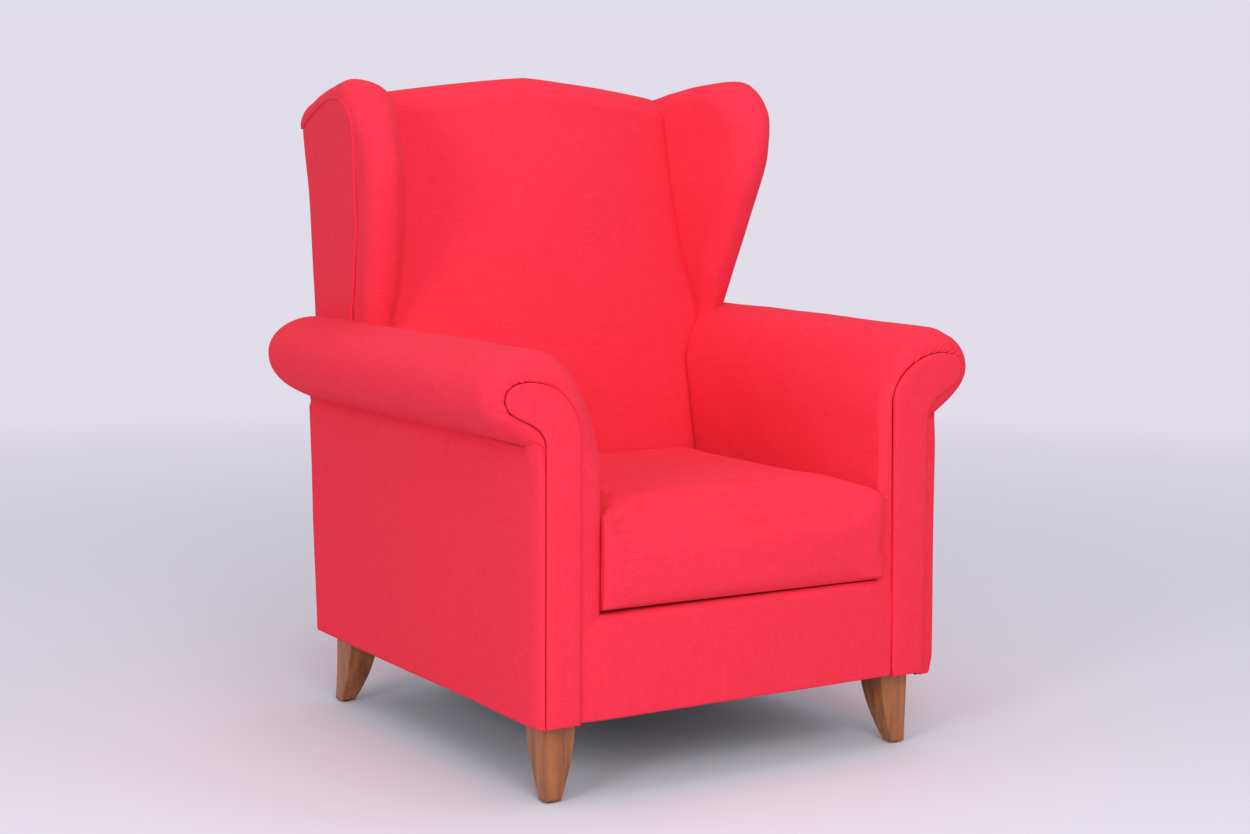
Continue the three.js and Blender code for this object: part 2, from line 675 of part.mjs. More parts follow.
// Outer face of the wing: a ruled surface from the rear edge to the seam behind the nose.
function wingOuterX(y, z) {
  const rear = rearDepth(z);
  const t = (rear - y) / (rear - seamDepth(Math.min(z, FLARE_HEIGHT)));
  return mix(rearHalfWidth(z), noseX(z) + NOSE_RADIUS, Math.min(t, 1));
}

function wingInnerX(z) {
  const low = clamp(1 - (z - ARM_HEIGHT) / (FLARE_HEIGHT - ARM_HEIGHT));
  return ARM_IN + WING_IN_FOOT * low ** WING_IN_BOW_SHARE;
}

// Fall of the wing's top to the rear, less at the inner edge, where it meets the back.
function wingFall(y, inner) {
  const t = clamp((y - WING_CREST_DEPTH) / (rearDepth(WING_CREST) - WING_CREST_DEPTH));
  return WING_REAR_FALL * t - WING_REAR_RISE * inner * ease(2 * t - 1);
}

// One level of the wing: outer face, round the nose, inner face, back to the rear.
function wingRing([front, level], inset, reach) {
  const crest = WING_CREST - inset;
  const radius = NOSE_RADIUS - inset;
  const middle = front - inset + NOSE_RADIUS;
  const rear = rearDepth(level) - PANEL - CLEARANCE - inset;
  const tilt = clamp((level - ARM_HEIGHT) / (crest - ARM_HEIGHT));
  const edge = clamp(1 - (crest - level) / TOP_SEAM_ROUND);
  const narrow = TOP_NARROW_SHARE * (1 - Math.sqrt(1 - edge ** 2));
  const seam = Math.max(seamDepth(Math.min(level, FLARE_HEIGHT)), middle + CLEARANCE);
  const crease = Math.max(backDepth(level) + NOSE_RADIUS / 2, middle + NOSE_RADIUS);
  const inner = wingInnerX(level);
  const outerX = (y) => wingOuterX(y, level - tilt * wingFall(y, 0));
  const noseIn = noseX(level) - radius;
  const places = [rear, mix(rear, seam, 0.5), seam].map((y) => [outerX(y) - inset, y]);
  for (const t of steps(6)) {
    const turn = t * Math.PI;
    places.push([noseX(level) + radius * Math.cos(turn), middle - radius * Math.sin(turn)]);
  }
  places.push([mix(noseIn, inner + inset, 0.5), mix(middle, crease, 0.5)]);
  places.push([inner + inset, crease]);
  places.push([inner + inset, rear]);
  const ring = places.map(([wide, y]) => {
    const outer = outerX(y);
    const x = mix(wide, mix(outer, inner, 0.5), narrow);
    const share = clamp((outer - x) / (outer - inner));
    return point(x, y, level - tilt * wingFall(y, share));
  });
  if (!reach) return ring;
  const behind = point(0, reach, 0);
  return [ring[0].clone().add(behind), ...ring, ring.at(-1).clone().add(behind)];
}

function wingBody(inset, reach = 0) {
  const rings = wingFront(inset).map((row) => wingRing(row, inset, reach));
  return loft(rings, stripCap);
}

// Outer panel of the wing, which runs on behind the arm roll down to the side panel.
// A margin adds a border all round and reaches past the rear face.
function wingPanelSheet(outside, inside, margin) {
  const foot = ROLL_SEAM_HEIGHT + CLEARANCE;
  const top = WING_CREST - TOP_SEAM_DROP;
  const border = (shares) => (margin ? [-1, ...shares, 2] : shares);
  const upShares = border([0, 0.15, 0.35, 0.55, 0.75, 0.9, 1]);
  const backShares = border([0, 0.25, 0.5, 0.75, 1]);
  const grid = (offset) =>
    upShares.map((v) =>
      backShares.map((u) => {
        const level = mix(foot, top, clamp(v));
        const front = seamDepth(Math.min(level, FLARE_HEIGHT)) + PIPING_RADIUS;
        const inY = mix(front, rearDepth(level), clamp(u));
        const y = inY + (u < 0 ? -margin : 0) + (u > 1 ? OVERRUN : 0);
        const inZ = mix(foot, top - wingFall(y, 0), clamp(v));
        const z = inZ + (v < 0 ? -margin : 0) + (v > 1 ? margin : 0);
        return point(wingOuterX(y, inZ) + offset, y, z);
      }),
    );
  return sheet(grid(outside), grid(-inside));
}

function wingOuterPanel() {
  return cut(
    wingPanelSheet(0, COVER, 0),
    armBody(-CLEARANCE),
    wingPiping(CLEARANCE),
    armRail(CLEARANCE),
  );
}

// Seam line of the piping: up behind the nose, round the upper corner and back along the top.
function wingSeam() {
  const top = WING_CREST - TOP_SEAM_DROP;
  const upShares = [0, 0.25, 0.5, 0.75, 0.95];
  const cornerShare = 0.6;
  const backShares = [0.1, 0.4, 0.7, 1];
  const heights = upShares.map((t) => mix(ARM_HEIGHT + PIPING_RADIUS, FLARE_HEIGHT, t));
  const places = heights.map((z) => [seamDepth(z), z]);
  const corner = seamDepth(FLARE_HEIGHT);
  places.push([corner + PIPING_RADIUS, mix(FLARE_HEIGHT, top, cornerShare)]);
  const rear = rearDepth(top - WING_REAR_FALL) - PIPING_RADIUS;
  for (const t of backShares) {
    const y = mix(corner, rear, t);
    places.push([y, top - wingFall(y, 0)]);
  }
  return new THREE.CatmullRomCurve3(places.map(([y, z]) => point(wingOuterX(y, z), y, z)));
}

function wingPiping(grow) {
  const radius = PIPING_RADIUS + grow;
  const turns = steps(PIPING_SIDES).slice(1).map((t) => t * 2 * Math.PI);
  const round = new THREE.Shape(
    turns.map((turn) => new THREE.Vector2(radius * Math.cos(turn), radius * Math.sin(turn))),
  );
  return new THREE.ExtrudeGeometry(round, { steps: PIPING_STEPS, extrudePath: wingSeam() });
}

function wingBoard(grow) {
  const rings = wingFront(0).slice(0, -3).map(([front, level], i) => {
    const foot = ARM_RAIL_TOP + CLEARANCE - grow;
    const base = i ? level : foot;
    const z = Math.min(base, WING_CREST - WING_BOARD_MARGIN + grow);
    const y0 = front + NOSE_RADIUS - grow;
    const y1 = rearDepth(z) - PANEL - 2 * CLEARANCE - COVER + grow;
    const tilt = clamp((z - ARM_HEIGHT) / (WING_CREST - ARM_HEIGHT));
    const places = [
      [y0, grow - COVER - CLEARANCE],
      [y1, grow - COVER - CLEARANCE],
      [y1, -grow - COVER - CLEARANCE - WING_BOARD_THICKNESS],
      [y0, -grow - COVER - CLEARANCE - WING_BOARD_THICKNESS],
    ];
    return places.map(([y, offset]) => {
      const height = z - tilt * wingFall(y, 0);
      return point(wingOuterX(y, height) + offset, y, height);
    });
  });
  return loft(rings, capInXY);
}

function fittedWingBoard() {
  const panelRoom = wingPanelSheet(OVERRUN, COVER + CLEARANCE, CLEARANCE);
  return cut(wingBoard(0), panelRoom, ...bothSides(rearRoom()));
}

function wingCover() {
  return cut(
    wingBody(0),
    wingBody(COVER, OVERRUN),
    wingPanelSheet(OVERRUN, COVER + CLEARANCE, CLEARANCE),
    wingPiping(CLEARANCE),
    backZone(),
    backTopRail(CLEARANCE),
    armRail(CLEARANCE),
    armBody(-CLEARANCE),
    ...bothSides(rearRoom()),
  );
}

function wingPad() {
  return cut(
    wingBody(COVER + WING_PAD_EASE).translate(0, 0, -WING_PAD_SETTLE),
    wingPanelSheet(OVERRUN, COVER + CLEARANCE, CLEARANCE),
    wingBoard(2 * CLEARANCE),
    backZone(),
    backTopRail(CLEARANCE),
    armRail(CLEARANCE),
    armBody(-CLEARANCE),
    ...bothSides(rearRoom()),
  );
}

// Back

// Side view of the inside back at a share across it, from its foot up and over to the rear.
function backPath(u, inset, reach = 0) {
  const topEdge = crestHeight(u * ARM_IN);
  const crest = topEdge - inset;
  const shoulder = crest - TOP_ROUND_HEIGHT + inset;
  const faceDepth = (z) => backDepth(z) - backCrown(z) * (1 - u * u) + inset;
  const upShares = [0, 0.22, 0.4, 0.6, 0.8, 1];
  const heights = upShares.map((t) => mix(BACK_FOOT, shoulder, t));
  const places = heights.map((z) => [faceDepth(z), z]);
  const start = faceDepth(shoulder);
  for (const t of steps(3).slice(1)) {
    const turn = (t * Math.PI) / 2;
    places.push([
      start + (TOP_ROUND_DEPTH - inset) * (1 - Math.cos(turn)),
      shoulder + (TOP_ROUND_HEIGHT - inset) * Math.sin(turn),
    ]);
  }
  const end = rearDepth(topEdge - REAR_DROP) - PANEL - CLEARANCE;
  places.push([end + Math.min(reach, 0), crest - REAR_DROP]);
  if (reach > 0) places.push([end + reach, crest - REAR_DROP]);
  return places;
}

// Half the width of the back: beside the arms, and above them tucked behind the wings.
function backHalfWidth(z) {
  const wide = ease((z - (ARM_HEIGHT - ARM_SHOULDER)) / ARM_SHOULDER);
  return mix(ARM_IN - CLEARANCE, wingInnerX(z) + BACK_TUCK, wide);
}

function backSheet(from, to, reach = 0) {
  const rings = ACROSS_SHARES.map((u) => {
    const outline = [...backPath(u, from, reach), ...backPath(u, to, reach).toReversed()];
    return outline.map(([y, z]) => point(u * backHalfWidth(z), y, z));
  });
  return loft(rings, stripCap);
}

function insideBackCover() {
  return cut(
    backSheet(0, COVER),
    ...bothSides(wingBody(-3 * CLEARANCE)),
    ...bothSides(armBody(-CLEARANCE)),
    ...bothSides(rearRoom()),
  );
}

function backPad() {
  const inset = COVER - CLEARANCE;
  const ledge = UPRIGHT_TOP + CLEARANCE;
  const lining = (z) => uprightDepth(z) - HESSIAN - 2 * CLEARANCE;
  const rings = ACROSS_SHARES.map((u) => {
    const front = backPath(u, inset, -CLEARANCE);
    const heights = steps(front.length - 2).map((t) => mix(ledge, BACK_FOOT, t));
    const rear = [[front.at(-1)[0], ledge], ...heights.map((z) => [lining(z), z])];
    return [...front, ...rear].map(([y, z]) => point(u * (backHalfWidth(z) - CLEARANCE), y, z));
  });
  return cut(
    loft(rings, stripCap),
    backSheet(-OVERRUN, COVER + CLEARANCE, OVERRUN),
    ...bothSides(wingBody(-3 * CLEARANCE)),
    ...bothSides(armBody(-CLEARANCE)),
    backTopRail(CLEARANCE),
    ...bothSides(rearRoom()),
  );
}

function backLining() {
  const row = (z, offset) =>
    [-1, 1].map((side) => point(side * UPRIGHT_OUT, uprightDepth(z) - CLEARANCE - offset, z));
  const heights = [BACK_FOOT, UPRIGHT_TOP - CLEARANCE];
  return sheet(
    heights.map((z) => row(z, 0)),
    heights.map((z) => row(z, HESSIAN)),
  );
}

function backTopRail(grow) {
  const x = UPRIGHT_IN - CLEARANCE + grow;
  const bottom = crestHeight(ARM_IN) - TOP_RAIL_MARGIN - TOP_RAIL_HEIGHT - grow;
  const top = (share) => crestHeight(share * ARM_IN) - TOP_RAIL_MARGIN + grow;
  const topShares = [1, 0.5, 0, -0.5, -1];
  const outline = [
    [-x, bottom],
    [x, bottom],
    ...topShares.map((share) => [share * x, top(share)]),
  ];
  const front = uprightDepth(UPRIGHT_TOP) + CLEARANCE;
  return prism(outline, "y", front - grow, front + RAIL_THICKNESS + grow);
}

// Rear panel from the lower edge to the camel top and the wings' sloping rear corners.
function backPanelSheet(outside, inside, margin) {
  const topAt = (share) => {
    const x = Math.abs(share) * WING_REAR_X;
    if (x <= ARM_IN) return crestHeight(x) - REAR_DROP;
    const t = (x - ARM_IN) / (WING_REAR_X - ARM_IN);
    return mix(crestHeight(ARM_IN) - REAR_DROP, WING_CREST - WING_REAR_FALL, t);
  };
  const sideShares = [-1, -0.81, -0.5, -0.25, 0, 0.25, 0.5, 0.81, 1];
  const upShares = [0, 0.2, 0.42, 0.5, 0.6, 0.72, 0.84, 0.93, 1];
  const grid = (offset) =>
    upShares.map((v) =>
      sideShares.map((share) => {
        const z = mix(COVER_BOTTOM - margin, topAt(share) + margin, v);
        const half = rearHalfWidth(z) - PANEL - CLEARANCE + margin;
        return point(share * half, rearDepth(z) + offset, z);
      }),
    );
  return sheet(grid(outside), grid(-inside));
}

const outsideBackPanel = () => backPanelSheet(0, PANEL, 0);

// The room that the rear panel takes, for the pieces in front of it.
const rearRoom = () => backPanelSheet(OVERRUN, PANEL + CLEARANCE, CLEARANCE);

// Back upright: a shaped board from the seat frame to the top rail.
function backUpright() {
  const heights = steps(5).map((t) => mix(FRAME_BOTTOM, UPRIGHT_TOP, t));
  const outline = [
    [uprightDepth(FRAME_BOTTOM), FRAME_BOTTOM],
    ...heights.map((z) => [rearDepth(z) - PANEL - 2 * CLEARANCE, z]),
    [uprightDepth(UPRIGHT_TOP), UPRIGHT_TOP],
  ];
  const board = prism(outline, "x", UPRIGHT_IN, UPRIGHT_OUT);
  return cut(board, boltHole(false), ...bothSides(rearRoom()));
}

// Seat frame

function frontSeatRail() {
  const x = ARM_IN + FACING_IN + PANEL / 2;
  const y = FRONT_LAYER + CLEARANCE;
  return box(-x, x, y, y + RAIL_THICKNESS, FRAME_BOTTOM, RAIL_TOP);
}

function sideSeatRail() {
  const front = BOARD_BACK + CLEARANCE;
  const rear = rearDepth(FRAME_BOTTOM) - PANEL - 2 * CLEARANCE;
  return box(FRAME_IN + CLEARANCE, FRAME_OUT, front, rear, FRAME_BOTTOM, RAIL_TOP);
}

function crossRail() {
  const y = CROSS_RAIL_DEPTH;
  return box(-FRAME_IN, FRAME_IN, y, y + RAIL_THICKNESS, FRAME_BOTTOM, RAIL_TOP);
}

function backSeatRail() {
  const x = UPRIGHT_IN - CLEARANCE;
  const rear = rearDepth(FRAME_BOTTOM) - PANEL - 2 * CLEARANCE;
  return box(-x, x, rear - RAIL_THICKNESS, rear, FRAME_BOTTOM, RAIL_TOP);
}

function cornerBlock() {
  const front = FRONT_LAYER + RAIL_THICKNESS + 2 * CLEARANCE;
  const outline = [
    [FRAME_IN, front],
    [FRAME_IN, front + CORNER_BLOCK_SIDE],
    [FRAME_IN - CORNER_BLOCK_SIDE / 3, front + CORNER_BLOCK_SIDE],
    [FRAME_IN - CORNER_BLOCK_SIDE, front + CORNER_BLOCK_SIDE / 3],
    [FRAME_IN - CORNER_BLOCK_SIDE, front],
  ];
  const block = prism(outline, "z", FRAME_BOTTOM, FRAME_BOTTOM + CORNER_BLOCK_HEIGHT);
  return cut(block, boltHole(true));
}

// Springs, linings and seat deck

// One zigzag spring from the front rail to the cross rail, lying on both.
function seatSpring(x) {
  const z = RAIL_TOP + CLEARANCE + SPRING_WIRE / 2;
  const start = FRONT_LAYER + CLEARANCE + SPRING_WIRE;
  const end = CROSS_RAIL_DEPTH + RAIL_THICKNESS - SPRING_WIRE;
  const places = [point(x, start, z)];
  for (let i = 0; i <= SPRING_BENDS; i++) {
    const side = i % 2 ? 1 : -1;
    const y = mix(start, end, (i + 1) / (SPRING_BENDS + 2));
    const reach = (end - start) / (SPRING_BENDS + 2) / 4;
    places.push(point(x + (side * SPRING_WIDTH) / 2, y - reach, z));
    places.push(point(x + (side * SPRING_WIDTH) / 2, y + reach, z));
  }
  places.push(point(x, end, z));
  const path = new THREE.CatmullRomCurve3(places, false, "catmullrom", SPRING_TENSION_SHARE);
  const radius = SPRING_WIRE / 2;
  const section = new THREE.Shape([
    new THREE.Vector2(radius, 0),
    new THREE.Vector2(0, radius),
    new THREE.Vector2(-radius, 0),
    new THREE.Vector2(0, -radius),
  ]);
  return new THREE.ExtrudeGeometry(section, { steps: 4 * SPRING_BENDS, extrudePath: path });
}

const seatHalf = ARM_IN - CLEARANCE;
const deckRear = () => uprightDepth(DECK_TOP) - HESSIAN - 2 * CLEARANCE;

function seatHessian() {
  const front = FRONT_LAYER + CLEARANCE;
  const rear = CROSS_RAIL_DEPTH + RAIL_THICKNESS;
  return box(-seatHalf, seatHalf, front, rear, HESSIAN_BOTTOM, HESSIAN_BOTTOM + HESSIAN);
}

function seatDeckPad() {
  const front = FRONT_LAYER + CLEARANCE;
  const top = DECK_UNDER - CLEARANCE;
  return box(-seatHalf, seatHalf, front, deckRear(), DECK_PAD_BOTTOM, top);
}

function frontBorderCover() {
  const bottom = COVER_BOTTOM + BORDER_RAISE;
  const returned = FRONT_LAYER + DECK_RETURN;
  const outline = [
    [FACING_PROUD, bottom],
    [FRONT_LAYER, bottom],
    [FRONT_LAYER, DECK_UNDER],
    [returned, DECK_UNDER],
    [returned, DECK_TOP],
    [FRONT_LAYER, DECK_TOP],
    [FACING_PROUD + COVER / 4, DECK_TOP - COVER / 4],
    [FACING_PROUD, DECK_TOP - COVER],
  ];
  const x = ARM_IN + FACING_IN - CLEARANCE;
  return cut(prism(outline, "x", -x, x), ...bothSides(armBody(-CLEARANCE)));
}

function deckCover() {
  const front = FRONT_LAYER + DECK_RETURN + CLEARANCE;
  return box(-seatHalf, seatHalf, front, deckRear(), DECK_UNDER, DECK_TOP);
}

function dustCover() {
  const top = FRAME_BOTTOM - CLEARANCE;
  const rear = rearDepth(FRAME_BOTTOM) - PANEL - 2 * CLEARANCE;
  const cloth = box(-FRAME_OUT, FRAME_OUT, BOARD_BACK + CLEARANCE, rear, top - DUST_COVER, top);
  const holes = [true, false].flatMap((front) => bothSides(boltHole(front)));
  return cut(cloth, ...holes);
}

// Cushion

// Rounded rectangle whose two flanks and front draw in a little between the corners.
function cushionRing(side, z) {
  const halfX = ARM_IN - CUSHION_SIDE_GAP - side;
  const halfY = (cushionRear() - CUSHION_FRONT) / 2 - side;
  const middle = (cushionRear() + CUSHION_FRONT) / 2;
  const corner = Math.max(CUSHION_CORNER - side * CORNER_FADE_SHARE, CUSHION_CORNER / 3);
  const places = [];
  for (let quarter = 0; quarter < 4; quarter++) {
    const turn = (quarter * Math.PI) / 2;
    const [along, out] = quarter % 2 ? [halfX, halfY] : [halfY, halfX];
    const pull = quarter === 1 ? 0 : CUSHION_DRAWN_IN;
    const [cos, sin] = [Math.cos(turn), Math.sin(turn)];
    const put = (a, b) => places.push(point(b * cos - a * sin, middle + b * sin + a * cos, z));
    const sideShares = [-0.45, 0.45];
    for (const share of sideShares) put(share * along, out - pull * (1 - share * share));
    for (const t of steps(3)) {
      const angle = (t * Math.PI) / 2;
      put(along - corner * (1 - Math.sin(angle)), out - corner * (1 - Math.cos(angle)));
    }
  }
  return places;
}

const cushionRear = () => BACK_DEPTH - BACK_CROWN_LOW - CUSHION_BACK_GAP;

function cushionBody(inset) {
  const bottom = DECK_TOP + CLEARANCE + inset;
  const top = DECK_TOP + CLEARANCE + CUSHION_HEIGHT - inset;
  const lowShares = [0, 0.4, 1];
  const highShares = [0, 0.35, 0.7, 1];
  const crownShares = [0.25, 0.5, 0.75, 0.92];
  const rings = [];
  for (const t of lowShares) {
    const turn = (t * Math.PI) / 2;
    const side = inset + CUSHION_BOTTOM_ROUND * (1 - Math.sin(turn));
    rings.push(cushionRing(side, bottom + CUSHION_BOTTOM_ROUND * (1 - Math.cos(turn))));
  }
  for (const t of highShares) {
    const turn = (t * Math.PI) / 2;
    const side = inset + CUSHION_TOP_ROUND * (1 - Math.cos(turn));
    rings.push(cushionRing(side, top - CUSHION_TOP_ROUND * (1 - Math.sin(turn))));
  }
  const reach = (cushionRear() - CUSHION_FRONT - CUSHION_CORNER) / 2;
  for (const share of crownShares) {
    const lift = CUSHION_CROWN * (1 - (1 - share) ** 2);
    rings.push(cushionRing(inset + mix(CUSHION_TOP_ROUND, reach, share), top + lift));
  }
  return loft(rings, capInXY);
}

const zipHeight = DECK_TOP + CUSHION_HEIGHT / 2;

function cushionCover() {
  const slot = box(
    -ZIP_HALF,
    ZIP_HALF,
    cushionRear() - CUSHION_SKIN - CLEARANCE,
    cushionRear() + OVERRUN,
    zipHeight - ZIP_SLOT / 2,
    zipHeight + ZIP_SLOT / 2,
  );
  return cut(cushionBody(0), cushionBody(CUSHION_SKIN), slot);
}

const cushionFoam = () => cushionBody(CUSHION_SKIN + CLEARANCE);

// Zip slider, parked at the closed end, with its neck in the slot and its pull hanging down.
function zipSlider() {
  const x0 = -ZIP_HALF + CLEARANCE;
  const x1 = x0 + SLIDER_LENGTH;
  const rear = cushionRear();
  const neck = ZIP_SLOT / 2 - CLEARANCE;
  const half = SLIDER_HEIGHT / 2;
  const plate = rear + CLEARANCE + SLIDER_PLATE;
  const middle = plate - SLIDER_PLATE / 2;
  const [pull0, pull1] = PULL_SHARES.map((share) => mix(x0, x1, share));
  return join(
    box(x0, x1, rear - CUSHION_SKIN, middle, zipHeight - neck, zipHeight + neck),
    box(x0, x1, rear + CLEARANCE, plate, zipHeight - half, zipHeight + half),
    box(pull0, pull1, middle, plate, zipHeight - half - PULL_LENGTH, zipHeight),
  );
}

// Legs

const legTop = FRAME_BOTTOM - DUST_COVER - 2 * CLEARANCE;

function boltPlace(front) {
  const depth = (front ? FRONT_LEG_DEPTH : REAR_LEG_DEPTH) + BOLT_SETBACK_Y;
  return [BASE_X - BOLT_INSET_X, depth];
}

function boltHole(front) {
  const [x, y] = boltPlace(front);
  const low = legTop - BOLT_IN_LEG - CLEARANCE;
  const high = FRAME_BOTTOM + BOLT_IN_FRAME + CLEARANCE;
  return rod(BOLT_RADIUS + CLEARANCE, x, y, low, high, BOLT_SIDES);
}

function legBolt(front) {
  const [x, y] = boltPlace(front);
  return rod(BOLT_RADIUS, x, y, legTop - BOLT_IN_LEG, FRAME_BOTTOM + BOLT_IN_FRAME, BOLT_SIDES);
}

// One leg from its top to the foot: two faces nearly upright, two curving in.
function leg(front) {
  const topY = front ? LEG_TOP_FRONT_Y : LEG_TOP_REAR_Y;
  const footY = front ? LEG_FOOT_FRONT_Y : LEG_FOOT_REAR_Y;
  const startY = front ? FRONT_LEG_DEPTH : REAR_LEG_DEPTH;
  const sweep = front ? CLEARANCE : REAR_LEG_SWEEP;
  const outer = BASE_X - LEG_INSET_X;
  const rings = steps(6).map((t) => {
    const curve = t ** LEG_CURVE_SHARE;
    const x1 = outer - LEG_SPLAY_X * t;
    const x0 = x1 - mix(LEG_TOP_X, LEG_FOOT_X, curve);
    const y0 = startY + sweep * curve;
    const y1 = y0 + mix(topY, footY, curve);
    const z = mix(legTop, GLIDE_HEIGHT + CLEARANCE, t);
    const c = LEG_CHAMFER;
    const corners = [
      [x0 + c, y0],
      [x1 - c, y0],
      [x1, y0 + c],
      [x1, y1 - c],
      [x1 - c, y1],
      [x0 + c, y1],
      [x0, y1 - c],
      [x0, y0 + c],
    ];
    return corners.map(([x, y]) => point(x, y, z));
  });
  return cut(loft(rings, capInXY), boltHole(front));
}

function glide(front) {
  const x = BASE_X - LEG_INSET_X - LEG_SPLAY_X - LEG_FOOT_X / 2;
  const footY = front ? LEG_FOOT_FRONT_Y : LEG_FOOT_REAR_Y;
  const startY = front ? FRONT_LEG_DEPTH + CLEARANCE : REAR_LEG_DEPTH + REAR_LEG_SWEEP;
  return rod(GLIDE_RADIUS, x, startY + footY / 2, 0, GLIDE_HEIGHT, GLIDE_SIDES);
}

const bothSides = (geometry) => [geometry, mirrored(geometry)];

// Materials

const finish = (color, roughness, metalness = 0) =>
  new THREE.MeshStandardMaterial({ color, roughness, metalness });
const fabric = finish(0xf53852, 0.9);
const wood = finish(0x8a5230, 0.45);
const beech = finish(0xc9a878, 0.7);
const foam = finish(0xe9dfc3, 0.95);
const lining = finish(0x8c7b5c, 0.95);
const blackCloth = finish(0x1c1a1b, 0.95);
const plastic = finish(0x18181a, 0.5);
const steel = finish(0x9a9ca0, 0.35, 0.9);

// Assembly

const chair = new THREE.Group();
chair.name = "fireside_chair";

function add(name, geometry, material) {
  geometry.computeVertexNormals();
  const mesh = new THREE.Mesh(geometry, material);
  mesh.name = name;
  chair.add(mesh);
}

function addPair(name, geometry, material) {
  add("left_" + name, mirrored(geometry), material);
  add("right_" + name, geometry, material);
}

add("front_seat_rail", frontSeatRail(), beech);
add("seat_cross_rail", crossRail(), beech);
add("back_seat_rail", backSeatRail(), beech);
addPair("seat_rail", sideSeatRail(), beech);
addPair("corner_block", cornerBlock(), beech);
addPair("back_upright", backUpright(), beech);
add("back_top_rail", backTopRail(0), beech);
addPair("arm_front_board", armFrontBoard(), beech);
addPair("arm_rail", armRail(0), beech);
addPair("wing_board", fittedWingBoard(), beech);

for (let i = 0; i < SPRING_COUNT; i++) {
  const share = (i + 0.5) / SPRING_COUNT;
  add("seat_spring_" + (i + 1), seatSpring(mix(-ARM_IN, ARM_IN, share)), steel);
}

add("seat_hessian", seatHessian(), lining);
add("seat_deck_pad", seatDeckPad(), foam);
add("back_hessian", backLining(), lining);
add("back_pad", backPad(), foam);
addPair("arm_pad", armPad(), foam);
addPair("wing_pad", wingPad(), foam);

add("inside_back_cover", insideBackCover(), fabric);
add("outside_back_panel", outsideBackPanel(), fabric);
addPair("arm_cover", armCover(), fabric);
addPair("arm_front_panel", armFrontPanel(), fabric);
addPair("outside_arm_panel", outsideArmPanel(), fabric);
addPair("wing_cover", wingCover(), fabric);
addPair("wing_outer_panel", wingOuterPanel(), fabric);
addPair("wing_piping", wingPiping(0), fabric);
add("front_border_cover", frontBorderCover(), fabric);
add("deck_cover", deckCover(), fabric);
add("dust_cover", dustCover(), blackCloth);

add("seat_cushion_cover", cushionCover(), fabric);
add("seat_cushion_foam", cushionFoam(), foam);
add("cushion_zip_slider", zipSlider(), steel);

for (const front of [true, false]) {
  const place = front ? "front" : "rear";
  addPair(place + "_leg", leg(front), wood);
  addPair(place + "_leg_bolt", legBolt(front), steel);
  addPair(place + "_glide", glide(front), plastic);
}

// The chair stands centred on its origin.
const bounds = new THREE.Box3().setFromObject(chair);
chair.position.y = -(bounds.min.y + bounds.max.y) / 2;

export default chair;
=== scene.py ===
import math

import bmesh
import bpy
import numpy as np
from mathutils import Matrix, Vector


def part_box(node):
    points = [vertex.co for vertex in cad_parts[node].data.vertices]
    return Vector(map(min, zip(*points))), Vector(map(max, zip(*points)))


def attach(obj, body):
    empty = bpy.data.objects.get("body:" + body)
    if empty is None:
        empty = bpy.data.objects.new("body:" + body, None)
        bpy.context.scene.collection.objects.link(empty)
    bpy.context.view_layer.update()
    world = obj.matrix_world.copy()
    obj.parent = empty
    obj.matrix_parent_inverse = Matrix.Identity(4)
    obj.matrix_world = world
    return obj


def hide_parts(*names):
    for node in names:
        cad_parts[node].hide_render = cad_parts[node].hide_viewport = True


# Fireside chair: the covers, cushion, legs and finishes of an upholstered wing armchair.
# Shapes are worked out in millimetres, with depths counted from the faces of the arm fronts,
# and turned into metres in the frame's place when a piece is made.
# Values in braces are for the left side (-1) and the right side (1), which differ a little.

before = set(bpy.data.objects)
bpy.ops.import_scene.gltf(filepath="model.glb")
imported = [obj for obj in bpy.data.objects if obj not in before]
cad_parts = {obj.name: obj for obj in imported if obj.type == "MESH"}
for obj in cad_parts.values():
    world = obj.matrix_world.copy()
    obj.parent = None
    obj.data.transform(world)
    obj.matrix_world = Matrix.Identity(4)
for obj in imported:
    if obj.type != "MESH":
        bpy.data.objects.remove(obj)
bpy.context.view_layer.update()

# Driving sizes, as in the part
CLEARANCE = 0.3
PANEL = 6
COVER = 5
SEAT_HALF = 281
BASE_HALF = 360
BASE_BOTTOM = 124
BASE_DEPTH = 817
REAR_AT_ARMS = 29
REAR_AT_CREST = 86
REAR_BOW_SHARE = 1.35
REAR_FOOT_SHARE = 0.8

# Arms
ARM_HEIGHT = 685
ARM_SHOULDER = 100
ARM_CREST_IN = 90
ARM_CURVES = {
    -1: (0.45, 0.55, 0.6, 0.56, 0.5, 0.6, 0.22),
    1: (0.45, 0.55, 0.6, 0.56, 0.42, 0.5, 0.25),
}
ARM_CREST_RISES = {-1: (0, 0), 1: (5.5, 4.5)}
ARM_BULGE = 18
ARM_INNER_ROUND = 10
ROLL_OUTS = {-1: 96, 1: 88}
ROLL_OUT_HEIGHT = 624
ROLL_SEAM_HEIGHT = 537
ROLL_BACK = 819
ROLL_FRONT_ROUNDS = {-1: 46, 1: 24}
ROLL_REAR_ROUND = 31
SKIRT_BOTTOM = 250
# Numbers of points on an arm's section: of its inner face, and up to both ends of the gathers
INNER_POINTS = 72
GATHERS_START = 66
GATHERS_END = 178

FACING_PROUD = 6
FACING_BOTTOM = 123
FACING_HOOK_HEIGHT = 540
FACINGS = {
    -1: {
        "in": 22,
        "lean": 0,
        "out": 360,
        "neck": 552,
        "crest": (64, 629),
        "tip": (68, 616),
        "curve": (0.46, 0.5, 0.18, 0.38, 0.22, 0.39, 0.5, 0.34),
    },
    1: {
        "in": 4,
        "lean": 7,
        "out": 354,
        "neck": 574,
        "crest": (53, 638),
        "tip": (64, 622),
        "curve": (0.46, 0.5, 0.18, 0.38, 0.3, 0.5, 0.5, 0.34),
    },
}
